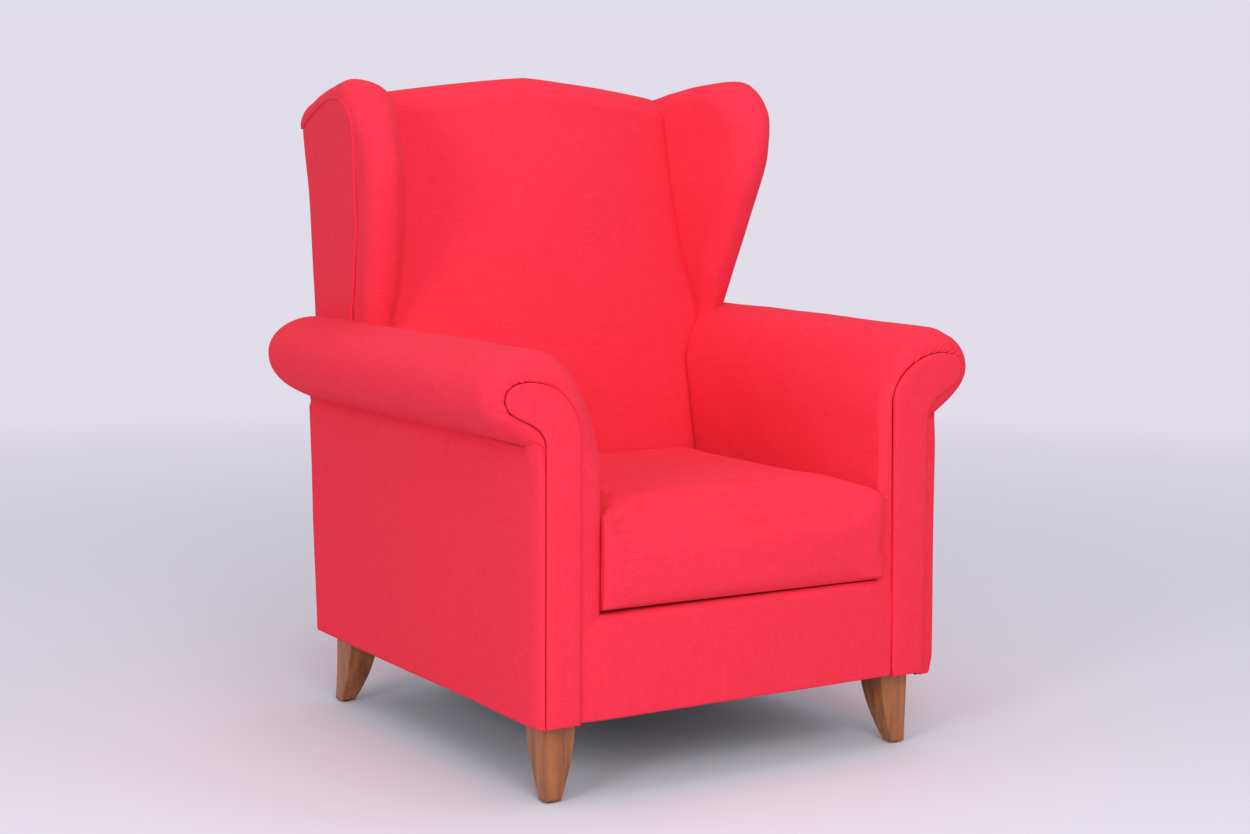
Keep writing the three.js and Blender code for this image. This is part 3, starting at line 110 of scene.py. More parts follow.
# Turn of a facing's edge: how far it is drawn in, how deep it lies and how high its foot is
FACING_TURN = (
    (0.6, 10, 0.0), (0.1, 6.0, 0.0), (0.1, 4.2, 0.1), (0.6, 2.2, 0.4), (1.5, 1.0, 1.0),
    (3.0, 0.25, 2.4), (5.5, 0.0, 4.6), (9.0, -0.25, 8.0), (13.0, -0.4, 12.0),
)

# Outer sides: how far they stand out at the front and behind, and how full their front edge is
SIDE_PROUD = {-1: 11, 1: 25}
SIDE_SETTLED = {-1: 2, 1: 4}
SIDE_WRAP_POWERS = {-1: (0.75, 1.0), 1: (0.45, 1.15)}
SIDE_OUT_AT_ROLL = {-1: 6.0, 1: -3.0}
SIDE_FOOT_TURN = (11.0, 8.0, 4.6, 2.4, 1.0, 0.3)

BACK_HEIGHT = 1100
BACK_DEPTH = 559
BACK_RAKE = math.radians(12)
RAKE_START = 438
BACK_FOOT = 290
BACK_CROWN_LOW = 10
BACK_CROWN_HIGH = 40
CREST_DROP = 33
CREST_BOW_SHARE = 1.25
TOP_ROUND_HEIGHT = 46
TOP_ROUND_DEPTH = 58
REAR_DROP = 10
BACK_TUCK = 8

WING_CREST = 1096
WING_CREST_DEPTH = 612
WING_FOOT_DEPTH = 584.5
WING_HIDDEN_FOOT = 560
WING_LEAN = 76.5
WING_BEND_HEIGHT = 905
WING_TURN = 103
WING_CREST_HANDLE = 65
WING_CREST_POINT = 98
WING_REAR_FALLS = {-1: 46, 1: 49}
WING_TOP_DROPS = {-1: 7.0, 1: -3.5}
WING_OVERHANGS = {-1: 4.0, 1: 1.0}
NOSE_RADIUS = 35
NOSE_FOOT = 46.3
NOSE_FLARE = 41.7
NOSE_INNER_POWERS = {-1: 0.6, 1: 1.0}
FLARE_HEIGHT = 1000.6
WING_IN_FOOT = 32
WING_IN_BOW_SHARE = 2.2
WING_REAR_HALF = 344.5
WELT_RADIUS = 2.6
WELT_CORNER = (575, 1044)
# Places on the welt in side view: heights and depths up the front, depths and heights to the rear
WELT_RISE = (
    (685, 656), (722, 641), (790, 614), (848, 590), (922, 575), (972, 564), (1005, 559), (1030, 562),
)
WELT_BACK = ((579, 1050), (604, 1062), (650, 1065), (700, 1062), (760, 1052), (833, 1034), (890, 1014))

DECK_TOP = 284.2
DECK_RETURN = 71
BORDER_BOTTOM = 126.2
BORDER_ROUND = 12
CUSHION_HALF = 261
CUSHION_FRONT = -1
CUSHION_REAR = 546
CUSHION_MIDDLE = (CUSHION_REAR + CUSHION_FRONT) / 2
CUSHION_REACH = (CUSHION_REAR - CUSHION_FRONT) / 2
CUSHION_BOTTOM = 285
CUSHION_HEIGHT = 156
CUSHION_CROWN = 15
CUSHION_CORNER = 12
CUSHION_LOW_ROUND = 9
CUSHION_TOP_ROUND = 22
CUSHION_FRONT_LIFT = 5
# Creases on the cushion's front: places across and up, how deep and how wide
CUSHION_CREASES = (
    (((-238, 368), (-205, 374), (-150, 389)), 1.6, 3.0),
    (((-220, 342), (-165, 356), (-100, 371), (-62, 398)), 1.3, 3.4),
    (((-254, 431), (-236, 428), (-214, 430)), 1.0, 2.2),
    (((-250, 420), (-228, 415), (-196, 418)), 0.8, 2.4),
    (((-248, 396), (-214, 404), (-170, 408)), 0.8, 3.0),
    (((-60, 352), (10, 366), (80, 372)), 0.6, 4.0),
)
FILLING_FRAMES = 20
FILLING_PRESSURE = 3.0
FILLING_MOST_MOVE = 14.0
EVEN_MESH_SIZE = 0.0055

LEG_TOP = 126.7
LEG_BOTTOM = 3.3
LEG_OUTER = 347.5
LEG_SPLAY = 3
LEG_WIDTHS = (54.5, 27.5)
LEG_CURVE_SHARE = 1.7
LEG_EDGE = 2.6
# Depths of a front and a rear leg at top and foot, where it starts and how far it sweeps back
LEG_DEPTHS = {True: (60, 24, 33, 0.3), False: (58, 27, 706, 45)}

# Where the faces of the arm fronts lie in the frame, in millimetres
FRONT_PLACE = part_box("right_arm_front_panel")[0].y * 1000


# Small helpers

def mix(a, b, t):
    return a + (b - a) * t


def clamp(t):
    return np.clip(t, 0.0, 1.0)


def ease(t):
    t = clamp(t)
    return t * t * (3 - 2 * t)


def rising(value, start, over):
    """Soft step from 0 at a start to 1 at a distance beyond it."""
    return ease((value - start) / over)


def falling(value, start, over):
    """Soft step from 1 at a start to 0 at a distance beyond it."""
    return 1 - rising(value, start, over)


def shares(count, start=0.0, end=1.0):
    """Evenly spaced shares from start to end."""
    return np.linspace(start, end, count + 1)


def quarter_turn(count):
    """Angles of a quarter turn, from 0 to a right angle."""
    return shares(count) * math.pi / 2


def bezier(a, b, c, d, count):
    """Points of a cubic curve without its first one."""
    t = shares(count)[1:, None]
    a, b, c, d = (np.array(p, float) for p in (a, b, c, d))
    return a * (1 - t) ** 3 + 3 * b * t * (1 - t) ** 2 + 3 * c * t * t * (1 - t) + d * t ** 3


def stretch(a, b, count):
    """Points of a straight stretch without its first one."""
    return mix(np.array(a, float), np.array(b, float), shares(count)[1:, None])


def spots(x, y, z):
    """Places from their widths, depths and heights."""
    return np.stack(np.broadcast_arrays(x, y, z), axis=-1).astype(float)


def parts_of(places):
    """Widths, depths and heights of places, which change the places when they change."""
    return np.moveaxis(places, -1, 0)


def unit(directions):
    return directions / np.maximum(np.linalg.norm(directions, axis=-1, keepdims=True), 1e-9)


def rightward(outline):
    """Directions square to an outline, on its right."""
    along = unit(np.gradient(outline, axis=0))
    return np.stack([along[:, 1], -along[:, 0]], axis=1)


def moved(outline, distance):
    return outline + rightward(outline) * distance


def lengths(outline):
    """How far along an outline each of its points lies."""
    steps = np.linalg.norm(np.diff(outline, axis=0), axis=1)
    return np.concatenate([[0.0], np.cumsum(steps)])


def evenly(line, at):
    """Points at shares of the way along a line."""
    along = lengths(line)
    return np.stack([np.interp(at * along[-1], along, way) for way in line.T], axis=1)


def unevenness(points, size, seed):
    """A soft irregular swell between -1 and 1, the same on every run."""
    random = np.random.default_rng(seed)
    total = np.zeros(points.shape[:-1])
    for _ in range(7):
        direction = random.normal(size=3)
        direction /= np.linalg.norm(direction)
        reach = size * random.uniform(0.6, 1.6)
        total += np.sin(points @ direction * (2 * math.pi / reach) + random.uniform(0, 6.28))
    return total / 4


def swollen(rows, softness):
    """Moves a grid of points square to itself."""
    square = unit(np.cross(np.gradient(rows, axis=0), np.gradient(rows, axis=1)))
    rows += square * softness[..., None]


def side_name(name, side):
    return ("left_" if side < 0 else "right_") + name


def by_side(values, x):
    return np.where(x < 0, values[-1], values[1])


# Making pieces

def place(points):
    """Millimetres in the chair to metres in the frame."""
    return (np.array(points, float) + np.array([0.0, FRONT_PLACE, 0.0])) * 0.001


def loops(name, rows, side=1, body="chair"):
    """Closed piece through a row of closed loops with equally many points."""
    rows = np.array(rows, float)
    rows[..., 0] *= side
    count, size = rows.shape[:2]
    faces = []
    for i in range(count - 1):
        for j in range(size):
            k = (j + 1) % size
            faces.append((i * size + j, i * size + k, (i + 1) * size + k, (i + 1) * size + j))
    faces.append(tuple(range(size)))
    faces.append(tuple(range((count - 1) * size, count * size)))
    mesh = bpy.data.meshes.new(name)
    mesh.from_pydata([tuple(p) for p in place(rows.reshape(-1, 3))], [], faces)
    shell = bmesh.new()
    shell.from_mesh(mesh)
    bmesh.ops.remove_doubles(shell, verts=shell.verts, dist=1e-6)
    bmesh.ops.recalc_face_normals(shell, faces=shell.faces)
    shell.to_mesh(mesh)
    shell.free()
    smooth(mesh)
    made = bpy.data.objects.new(name, mesh)
    bpy.context.scene.collection.objects.link(made)
    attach(made, body)
    return made


def smooth(mesh):
    mesh.polygons.foreach_set("use_smooth", [True] * len(mesh.polygons))


def padded_sheet(name, outer, inner, side=1):
    """Closed piece between two grids of points."""
    return loops(name, np.concatenate([outer, inner[:, ::-1]], axis=1), side)


# Surfaces that several pieces follow

def rear_depth(z):
    low = clamp((z - BASE_BOTTOM) / (ARM_HEIGHT - BASE_BOTTOM))
    high = clamp((z - ARM_HEIGHT) / (BACK_HEIGHT - ARM_HEIGHT))
    sweep = (REAR_AT_CREST - REAR_AT_ARMS) * high ** REAR_BOW_SHARE
    return BASE_DEPTH + REAR_AT_ARMS * low ** REAR_FOOT_SHARE + sweep


def rear_half_width(z):
    return mix(BASE_HALF, WING_REAR_HALF, rising(z, ROLL_SEAM_HEIGHT, ARM_HEIGHT - ROLL_SEAM_HEIGHT))


def back_depth(z):
    return BACK_DEPTH + np.maximum(z - RAKE_START, 0) * math.tan(BACK_RAKE)


def back_face(across, z):
    """Depth of the crowned inside back at a share of the way across it."""
    crown = mix(BACK_CROWN_LOW, BACK_CROWN_HIGH, rising(z, RAKE_START, BACK_HEIGHT / 2))
    return back_depth(z) - crown * (1 - across * across)


def crest_height(x):
    return BACK_HEIGHT - CREST_DROP * (np.abs(x) / SEAT_HALF) ** CREST_BOW_SHARE


# Arms

def scroll_line(low, neck, crest, tip, seam, pulls):
    """Outline of a scroll: up the inner face, over the crest, out to the tip and under to the seam."""
    return np.vstack([
        [low],
        stretch(low, neck, 30),
        bezier(neck, pulls[0], pulls[1], crest, 40),
        bezier(crest, pulls[2], pulls[3], tip, 90),
        bezier(tip, pulls[4], pulls[5], seam, 60),
    ])


def arm_path(bulge, side):
    """Section of the arm's cover."""
    rise_up, rise_in, crest_out, tip_up, tip_down, seam_out, seam_up = ARM_CURVES[side]
    crest_x = SEAT_HALF + ARM_CREST_IN
    tip_x = BASE_HALF + ROLL_OUTS[side]
    pulls = (
        (SEAT_HALF, ARM_HEIGHT - rise_up * ARM_SHOULDER),
        (crest_x - rise_in * ARM_CREST_IN, ARM_HEIGHT),
        (mix(crest_x, tip_x, crest_out), ARM_HEIGHT),
        (tip_x, mix(ROLL_OUT_HEIGHT, ARM_HEIGHT, tip_up)),
        (tip_x, mix(ROLL_OUT_HEIGHT, ROLL_SEAM_HEIGHT, tip_down)),
        (mix(BASE_HALF, tip_x, seam_out), mix(ROLL_SEAM_HEIGHT, ROLL_OUT_HEIGHT, seam_up)),
    )
    low = (SEAT_HALF, SKIRT_BOTTOM)
    shoulder = (SEAT_HALF, ARM_HEIGHT - ARM_SHOULDER)
    seam = (BASE_HALF, ROLL_SEAM_HEIGHT)
    path = scroll_line(low, shoulder, (crest_x, ARM_HEIGHT), (tip_x, ROLL_OUT_HEIGHT), seam, pulls)
    path[:, 0] -= bulge * falling(path[:, 1], 545, 95) * (np.arange(len(path)) < INNER_POINTS)
    return path


def facing_path(bottom, side):
    """Edge of the scroll facing, point for point beside the arm's section."""
    shape = FACINGS[side]
    inner = SEAT_HALF + shape["in"]
    outer = shape["out"]
    neck = shape["neck"]
    crest = (SEAT_HALF + shape["crest"][0], shape["crest"][1])
    tip = (BASE_HALF + shape["tip"][0], shape["tip"][1])
    rise = crest[1] - neck
    neck_up, neck_in, crest_down, crest_out, crest_up, tip_up, tip_down, hook_up = shape["curve"]
    pulls = (
        (inner, neck + neck_up * rise),
        (mix(inner, crest[0], neck_in), crest[1] - crest_down * rise),
        (mix(crest[0], tip[0], crest_out), crest[1] + crest_up * rise),
        (tip[0], tip[1] + tip_up * rise),
        (tip[0], mix(tip[1], FACING_HOOK_HEIGHT, tip_down)),
        (outer, mix(tip[1], FACING_HOOK_HEIGHT, hook_up)),
    )
    low = (inner + shape["lean"], bottom)
    return scroll_line(low, (inner, neck), crest, tip, (outer, FACING_HOOK_HEIGHT), pulls)


def scroll_puckers(along, seed):
    """Depth of the gathers where the arm's cloth is eased round the head of the scroll."""
    random = np.random.default_rng(seed)
    places = np.linspace(along[GATHERS_START], along[GATHERS_END], 13) + random.uniform(-4, 4, 13)
    depths = random.uniform(0.45, 1.1, 13)
    widths = random.uniform(1.9, 3.6, 13)
    total = np.zeros_like(along)
    for at, depth, width in zip(places, depths, widths):
        total += depth * np.exp(-((along - at) / width) ** 2)
        total -= 0.4 * depth * np.exp(-((along - at - 2.4 * width) / (1.3 * width)) ** 2)
    return total


def arm_cover(side, seed):
    """Inner face, crest and roll in one cover, gathered over the scroll front."""
    full = arm_path(ARM_BULGE, side)
    facing = facing_path(SKIRT_BOTTOM, side)
    count = len(full)
    reach = np.linalg.norm(full - facing, axis=1)
    gathers = scroll_puckers(lengths(facing), seed)
    beside_cushion = falling(full[:, 1], 500, 110) * (np.arange(count) < INNER_POINTS)
    front_round = mix(ROLL_FRONT_ROUNDS[side], ARM_INNER_ROUND, beside_cushion)
    seam_sink = np.where(np.arange(count) < GATHERS_START, 5.0, 2.6)

    def ring(outline, depth):
        """One closed loop of the cover, led back inside the arm."""
        flat = np.vstack([outline, (350, ROLL_SEAM_HEIGHT - 8), (350, SKIRT_BOTTOM)])
        deep = np.broadcast_to(depth, count)
        return spots(flat[:, 0], np.append(deep, [deep[-1], deep[-1]]), flat[:, 1])

    rows = [ring(moved(facing, 2.0), 17.0), ring(moved(facing, 0.4), 12.0)]
    for share in np.concatenate([[0, 0.008, 0.02, 0.035, 0.055, 0.08, 0.11], shares(22, 0.15)]):
        turn = share * math.pi / 2
        blend = math.sin(turn)
        away = reach * blend
        crevice = seam_sink * np.exp(-away / 1.3) + 0.9 * np.exp(-away / 6)
        gather = 3.4 * gathers * np.exp(-(away / 12) ** 1.5) * (1 - 0.5 * np.exp(-away / 1.5))
        depth = FACING_PROUD + front_round * (1 - math.cos(turn)) + crevice + gather
        rows.append(ring(mix(facing, full, blend), depth))
    crest_lift, rear_lift = ARM_CREST_RISES[side]
    round_start = ROLL_BACK - ROLL_REAR_ROUND
    for depth in np.linspace(FACING_PROUD + ROLL_FRONT_ROUNDS[side], round_start, 48)[1:]:
        arm = arm_path(ARM_BULGE * falling(depth, 40, 470), side)
        arm[:, 1] += (crest_lift + rear_lift * rising(depth, 60, 480)) * rising(arm[:, 1], 600, 80)
        rows.append(ring(arm, depth))
    for turn in quarter_turn(14)[1:]:
        shrink = 0.86 * ROLL_REAR_ROUND * (1 - math.cos(turn))
        rows.append(ring(moved(arm, shrink), round_start + ROLL_REAR_ROUND * math.sin(turn)))
    rows = np.array(rows)
    cover = rows[:, :count]
    softness = 1.1 * unevenness(cover, 190, seed) + 0.4 * unevenness(cover, 60, seed + 1)
    swollen(cover, softness * rising(cover[..., 1], 14, 60))
    seam_line = np.exp(-((np.arange(count) - count + 1) / 3.0) ** 2)
    cover[..., 0] -= 1.5 * seam_line * rising(cover[..., 1], 20, 30)
    return loops(side_name("arm_cover", side), rows, side)


def arm_facing(side):
    """Scroll panel on an arm front: a padded board with softly turned edges."""
    rows = []
    for inset, depth, lift in FACING_TURN:
        path = moved(facing_path(FACING_BOTTOM + lift, side), inset)
        heel = (FACINGS[side]["out"] - inset, FACING_BOTTOM + lift)
        edge = np.vstack([path, stretch(path[-1], heel, 60), stretch(heel, path[0], 12)[:-1]])
        rows.append(spots(edge[:, 0], depth, edge[:, 1]))
    rows = np.array(rows)
    ripple = 0.25 * unevenness(rows, 70, 40 + side)
    rows[2:, :, 1] += ripple[2:]
    return loops(side_name("arm_facing", side), rows, side)


def side_panel(side):
    """Flat outer side, wrapped softly round its front edge to the facing and under its foot."""
    seam = FACINGS[side]["out"]
    right = side > 0
    proud = BASE_HALF + SIDE_PROUD[side]
    settled = BASE_HALF + SIDE_SETTLED[side]
    out_power, back_power = SIDE_WRAP_POWERS[side]
    turn = quarter_turn(14)
    wrap_x = mix(seam + 0.8, proud, np.sin(turn) ** out_power)
    wrap_y = 7.6 + 30 * (1 - np.cos(turn)) ** back_power
    wrap_x = np.concatenate([seam - np.array([7.0, 2.0, 0.4]), wrap_x])
    wrap_y = np.concatenate([[16.0, 13.5, 11.0], wrap_y])
    heights = np.concatenate([
        BASE_BOTTOM + np.array([3, 0.4, -1.8, -2.4, -1.2, 1.5, 6]),
        np.linspace(BASE_BOTTOM + 14, ROLL_SEAM_HEIGHT - 16, 56),
        ROLL_SEAM_HEIGHT - np.array([11, 7, 4, 2, 0.8, -0.4, -1.5]),
    ])
    foot_turn = SIDE_FOOT_TURN + (0,) * (len(heights) - len(SIDE_FOOT_TURN))
    rows = []
    for height, inward in zip(heights, foot_turn):
        rear = rear_depth(min(height, ROLL_SEAM_HEIGHT))
        flat = np.linspace(wrap_y[-1], rear - 10, 70)[1:]
        x = np.concatenate([wrap_x, mix(proud, settled, rising(flat, 40, 260)), [363, 361.6, 359, 350]])
        y = np.concatenate([wrap_y, flat, rear - np.array([6, 3.4, 3.0, 3.6])])
        pull = 5.0 * rising(height, ROLL_SEAM_HEIGHT - 17, 18) * rising(y, 36, 25)
        low_front = 5 * right * falling(height, BASE_BOTTOM, 26) * falling(y, 6, 40)
        x = x - np.where(x > seam - 1, pull + inward + low_front * (x > seam + 2), 0)
        rows.append(spots(x, y, height))
    outer = np.array(rows)
    x, y, z = parts_of(outer)
    under_roll = rising(z, 496, 42)
    near_facing = falling(y, 34, 30)
    x += SIDE_OUT_AT_ROLL[side] * under_roll * near_facing * (x > seam + 1)
    z += 0.75 * np.maximum(x - BASE_HALF, 0) * under_roll * (1 if right else near_facing)
    swell = 1.0 * unevenness(outer, 260, 51 + side) + 0.35 * unevenness(outer, 80, 53 + side)
    x += swell * rising(y, 10, 30) * rising(z, 126, 30)
    seam_wave = 0.8 * np.sin(y / 9) + 0.7 * np.sin(y / 23 + 1)
    z += 0.6 * seam_wave * rising(z, 500, 37)
    z -= 3.0 * (np.sin(math.pi * clamp(y / 830)) + right * falling(y, 6, 90)) * falling(z, 122, 40)
    x += 3.0 * right * falling(z, 140, 260) * falling(y, 60, 200) * (x > seam + 8)
    inner = outer.copy()
    inner[..., 0] = seam - 8.0
    return padded_sheet(side_name("side_panel", side), outer, inner, side)


# Wings

def nose_x(z):
    flare = (z - ARM_HEIGHT) / (FLARE_HEIGHT - ARM_HEIGHT)
    return SEAT_HALF + NOSE_FOOT + NOSE_FLARE * np.minimum(flare, mix(1.0, flare, 0.5))


def top_lowered(line, side):
    """The left wing's top is a little lower than the right one's in the photograph."""
    line[:, 1] -= WING_TOP_DROPS[side] * rising(line[:, 1], WING_BEND_HEIGHT, 150)
    return line


def wing_edge(side):
    """Side view of the wing's edge: up its front, round the lobe and back along the top to the rear."""
    bend = np.array([WING_FOOT_DEPTH - WING_LEAN, WING_BEND_HEIGHT])
    slope = WING_LEAN / (WING_BEND_HEIGHT - ARM_HEIGHT)
    foot = np.array([WING_FOOT_DEPTH + slope * (ARM_HEIGHT - WING_HIDDEN_FOOT), WING_HIDDEN_FOOT])
    crest = np.array([WING_CREST_DEPTH, WING_CREST])
    upward = unit(np.array([-slope, 1.0]))
    lobe = bezier(bend, bend + upward * WING_TURN, crest - (WING_CREST_HANDLE, 0), crest, 52)
    fall = WING_REAR_FALLS[side]
    run = shares(55)[1:]
    sinking = run ** 2.3 if side < 0 else 1.1 * (1 - np.exp(-(1.715 * run) ** 1.65))
    back_y = mix(WING_CREST_DEPTH, rear_depth(WING_CREST - fall) + 1, run)
    top = np.stack([back_y, WING_CREST - fall * sinking], axis=1)
    return top_lowered(np.vstack([[foot], stretch(foot, bend, 46), lobe, top]), side)


WING_FRONT = wing_edge(1)[:WING_CREST_POINT + 1]


def wing_outer_x(y, z):
    """Outer face: straight from the rear edge to the welt, and level from there to the nose."""
    rear = rear_depth(z)
    front = np.interp(z, *zip(*WELT_RISE)) + 30 * rising(z, 1000, 40)
    return mix(rear_half_width(z), nose_x(z) + NOSE_RADIUS, clamp((rear - y) / (rear - front)))


def wing_inner_x(z):
    low = clamp(1 - (z - ARM_HEIGHT) / (FLARE_HEIGHT - ARM_HEIGHT))
    return SEAT_HALF + WING_IN_FOOT * low ** WING_IN_BOW_SHARE


def wing_face_x(y, z):
    """Inner face: from the nose to the crease beside the back, softly full between them."""
    middle = np.interp(z, WING_FRONT[:, 1], WING_FRONT[:, 0]) + NOSE_RADIUS
    crease = np.maximum(back_depth(z) + NOSE_RADIUS / 2, middle + NOSE_RADIUS)
    t = clamp((y - middle) / (crease - middle))
    slim_foot = 15 * falling(z, ARM_HEIGHT - 8, 75)
    full_middle = 5 * rising(z, ARM_HEIGHT + 40, 90) * falling(z, 960, 90)
    nose = nose_x(z) - NOSE_RADIUS + slim_foot - full_middle
    return mix(nose, wing_inner_x(z), t ** 1.25) - 5 * np.sin(math.pi * t) ** 2


def wing_plane_x(y, z):
    """The inner face without its rounded rim: even from behind the nose to the crease."""
    nose_line = WING_FOOT_DEPTH - WING_LEAN * clamp((z - ARM_HEIGHT) / (WING_BEND_HEIGHT - ARM_HEIGHT))
    start = nose_x(z) - 0.86 * NOSE_RADIUS + 13 * falling(z, ARM_HEIGHT - 8, 75)
    share = clamp((y - nose_line) / (back_depth(z) + NOSE_RADIUS / 2 - nose_line))
    return mix(start, wing_inner_x(z), share ** 0.92)


def welt_line(side):
    """Side view of the welt, up behind the nose and back under the top, and its point at the corner."""
    rise = [(y, z) for z, y in WELT_RISE]
    line = np.array([(rise[0][0] + 6, 540)] + rise + list(WELT_BACK), float)
    line = top_lowered(line, side)
    before = np.vstack([2 * line[:1] - line[1:2], line[:-1]])
    after = np.vstack([line[1:], 2 * line[-1:] - line[-2:-1]])
    pulls = (after - before) / 6
    points = [line[:1]]
    for i in range(len(line) - 1):
        points.append(bezier(line[i], line[i] + pulls[i], line[i + 1] - pulls[i + 1], line[i + 1], 24))
    welt = evenly(np.vstack(points), shares(240))
    return welt, int(np.argmin(np.hypot(*(welt - WELT_CORNER).T)))


def top_beside_back(y):
    """Height of the wing's top at its inner edge, where it meets the back's top."""
    return crest_height(SEAT_HALF) + 2 - REAR_DROP * rising(y, back_depth(WING_CREST - 30) + 60, 150)


def leaned_out(places, side):
    """In the photograph the right wing's lobe and the left wing's rear stand a little further out."""
    x, y, z = parts_of(places)
    if side > 0:
        x += 5.0 * rising(z, 900, 90) * falling(y, 620, 120)
        x += 9.0 * rising(z, 985, 60) * rising(x, 330, 45) * falling(y, 700, 60)
    else:
        x += 2.0 * rising(z, 880, 100) * rising(y, 760, 80)
    return places


def wing_cover(side):
    """Padded cover of the wing, wrapped from the welt over the edge and down the inner face."""
    edge = wing_edge(side)
    count = len(edge)
    upright = rising(edge[:, 0], edge[-1, 0] - 90, 90)[:, None]
    inward = unit(mix(rightward(edge), np.array([0.0, -1.0]), upright))
    far = lengths(edge) / lengths(edge)[-1]
    crest = far[WING_CREST_POINT]
    welt, corner = welt_line(side)
    corner = lengths(welt)[corner] / lengths(welt)[-1]
    welt = evenly(welt, np.interp(far, [0, crest, 1], [0, corner, 1]))
    crease_z = np.linspace(560, 1032, 60)
    crease = np.stack([back_depth(crease_z) + 26, crease_z], axis=1)
    low_top = stretch(crease[-1], (edge[-1, 0], 990), 29)
    hidden = evenly(np.vstack([crease, low_top]), np.interp(far, [0, crest, 1], [0, 0.70, 1]))
    out_shares = shares(8)[:-1, None]
    in_shares = shares(20)[1:, None]
    turns = shares(22) * math.pi
    around = np.cos(turns)
    around = np.sign(around) * np.abs(around) ** np.where(around > 0, 0.8, NOSE_INNER_POWERS[side])
    outside = len(out_shares)
    ridge = outside + 11
    spread = np.concatenate([np.ones(outside), around, -np.ones(len(in_shares))])
    rows = []
    for i in range(count):
        roll = NOSE_RADIUS - 6 * falling(edge[i, 1], ARM_HEIGHT, 110)
        rim = 7 * rising(i, count - 6, 5.0)
        turned = edge[i] + inward[i] * (rim + (roll - rim) * (1 - np.sin(turns)))[:, None]
        level_in = rising(edge[i, 0], 690, 110)
        beside_back = np.array([edge[i, 0], top_beside_back(edge[i, 0])])
        level = mix(edge[i], beside_back, clamp(-np.cos(turns))[:, None]) - (0.0, rim)
        turned = np.where(turns[:, None] > math.pi / 2, mix(turned, level, level_in), turned)
        out_run = mix(welt[i], edge[i] + inward[i] * roll, out_shares)
        flat = np.vstack([out_run, turned, mix(turned[-1], hidden[i], in_shares)])
        y, z = flat.T
        sunk_end = mix(1.0, -5.0, falling(z, edge[i, 1] - 24, 14))
        y[:] = np.minimum(y, rear_depth(z) + sunk_end)
        x = mix(wing_outer_x(y, z), wing_face_x(y, z), 0.5 - 0.5 * spread)
        rounding = clamp(np.linalg.norm(flat[ridge:] - edge[i], axis=1) / NOSE_RADIUS)
        even = mix(x[ridge], wing_plane_x(y[ridge:], z[ridge:]), np.sqrt(1 - (1 - rounding) ** 2))
        x[ridge:] = mix(even, x[ridge:], level_in)
        welt_off = np.linalg.norm(flat[:outside] - welt[i], axis=1)
        welt_sink = np.interp(welt[i, 1], [1000, 1035], [3.0, 0.8])
        x[:outside] -= welt_sink * np.exp(-(welt_off / 5) ** 2)
        section = spots(x, y, z)
        close_in = section[-1] + (14.0, 4.0, 0.0)
        close_out = section[0] + (-7.0, 2.0, 0.0)
        rows.append(np.vstack([section, close_in, mix(close_in, close_out, 0.5), close_out]))
    rows = leaned_out(np.array(rows), side)
    x, y, z = parts_of(rows)
    x += WING_OVERHANGS[side] * rising(y, 830, 50) * rising(x, 300, 20)
    shown = rows[:, :-3]
    softness = 1.0 * unevenness(shown, 170, 61 + side) + 0.35 * unevenness(shown, 60, 63 + side)
    swollen(shown, softness * rising(shown[..., 2], 600, 80))
    return loops(side_name("wing_cover", side), rows, side)


def wing_outside(side):
    """Outer panel of the wing, from its welt back to the rear edge and down behind the arm roll."""
    foot = ROLL_SEAM_HEIGHT - 2
    welt, corner = welt_line(side)
    up = np.concatenate([[0.0, 0.003, 0.008], shares(60, 0.016, 0.98), [0.99, 0.996, 1.0]])
    back = np.concatenate([[0.0, 0.006, 0.015], shares(44, 0.03, 0.97), [0.985, 0.994, 1.0]])
    front = evenly(welt[:corner + 1], up)
    top = evenly(welt[corner:], back)
    rear_z = mix(foot, top[-1, 1], up)
    rear = np.stack([rear_depth(rear_z) + 0.3, rear_z], axis=1)
    low = np.stack([mix(front[0, 0], rear[0, 0], back), mix(front[0, 1], foot, back)], axis=1)
    u = back[None, :, None]
    v = up[:, None, None]
    ruled = mix(low[None], top[None], v) + mix(front[:, None], rear[:, None], u)
    corners = mix(mix(low[0], top[0], v), mix(low[-1], top[-1], v), u)
    y, z = parts_of(ruled - corners)
    rim = np.minimum(300 * np.minimum(back, 1 - back), 480 * (1 - up)[:, None])
    sunk = np.interp(z, [1000, 1030], [3.4, 1.0])
    x = wing_outer_x(y, z)
    outer = spots(x + 1.8 * ease(rim / 12) - sunk * (1 - ease(rim / 3.0)), y, z)
    outer[..., 0] += 0.8 * unevenness(outer, 200, 71 + side)
    inner = leaned_out(spots(x - 4.5, y, z), side)
    return padded_sheet(side_name("wing_outside", side), leaned_out(outer, side), inner, side)


def wing_welt(side):
    """Round cord of cloth along the seam between the wing's cover and its outer panel."""
    line = welt_line(side)[0]
    y, z = line[line[:, 1] > ARM_HEIGHT - 30].T
    x = wing_outer_x(y, z) + 0.4
    path = leaned_out(spots(x, np.minimum(y, rear_depth(z) - 2), z), side)
    along = unit(np.gradient(path, axis=0))
    out = unit(np.cross(along, np.array([1.0, 0.0, 0.0])))
    other = np.cross(along, out)
    turns = shares(10)[:-1, None] * 2 * math.pi
    rows = [
        spot + WELT_RADIUS * (np.cos(turns) * a + np.sin(turns) * b)
        for spot, a, b in zip(path, out, other)
    ]
    return loops(side_name("wing_welt", side), rows, side)


# Back

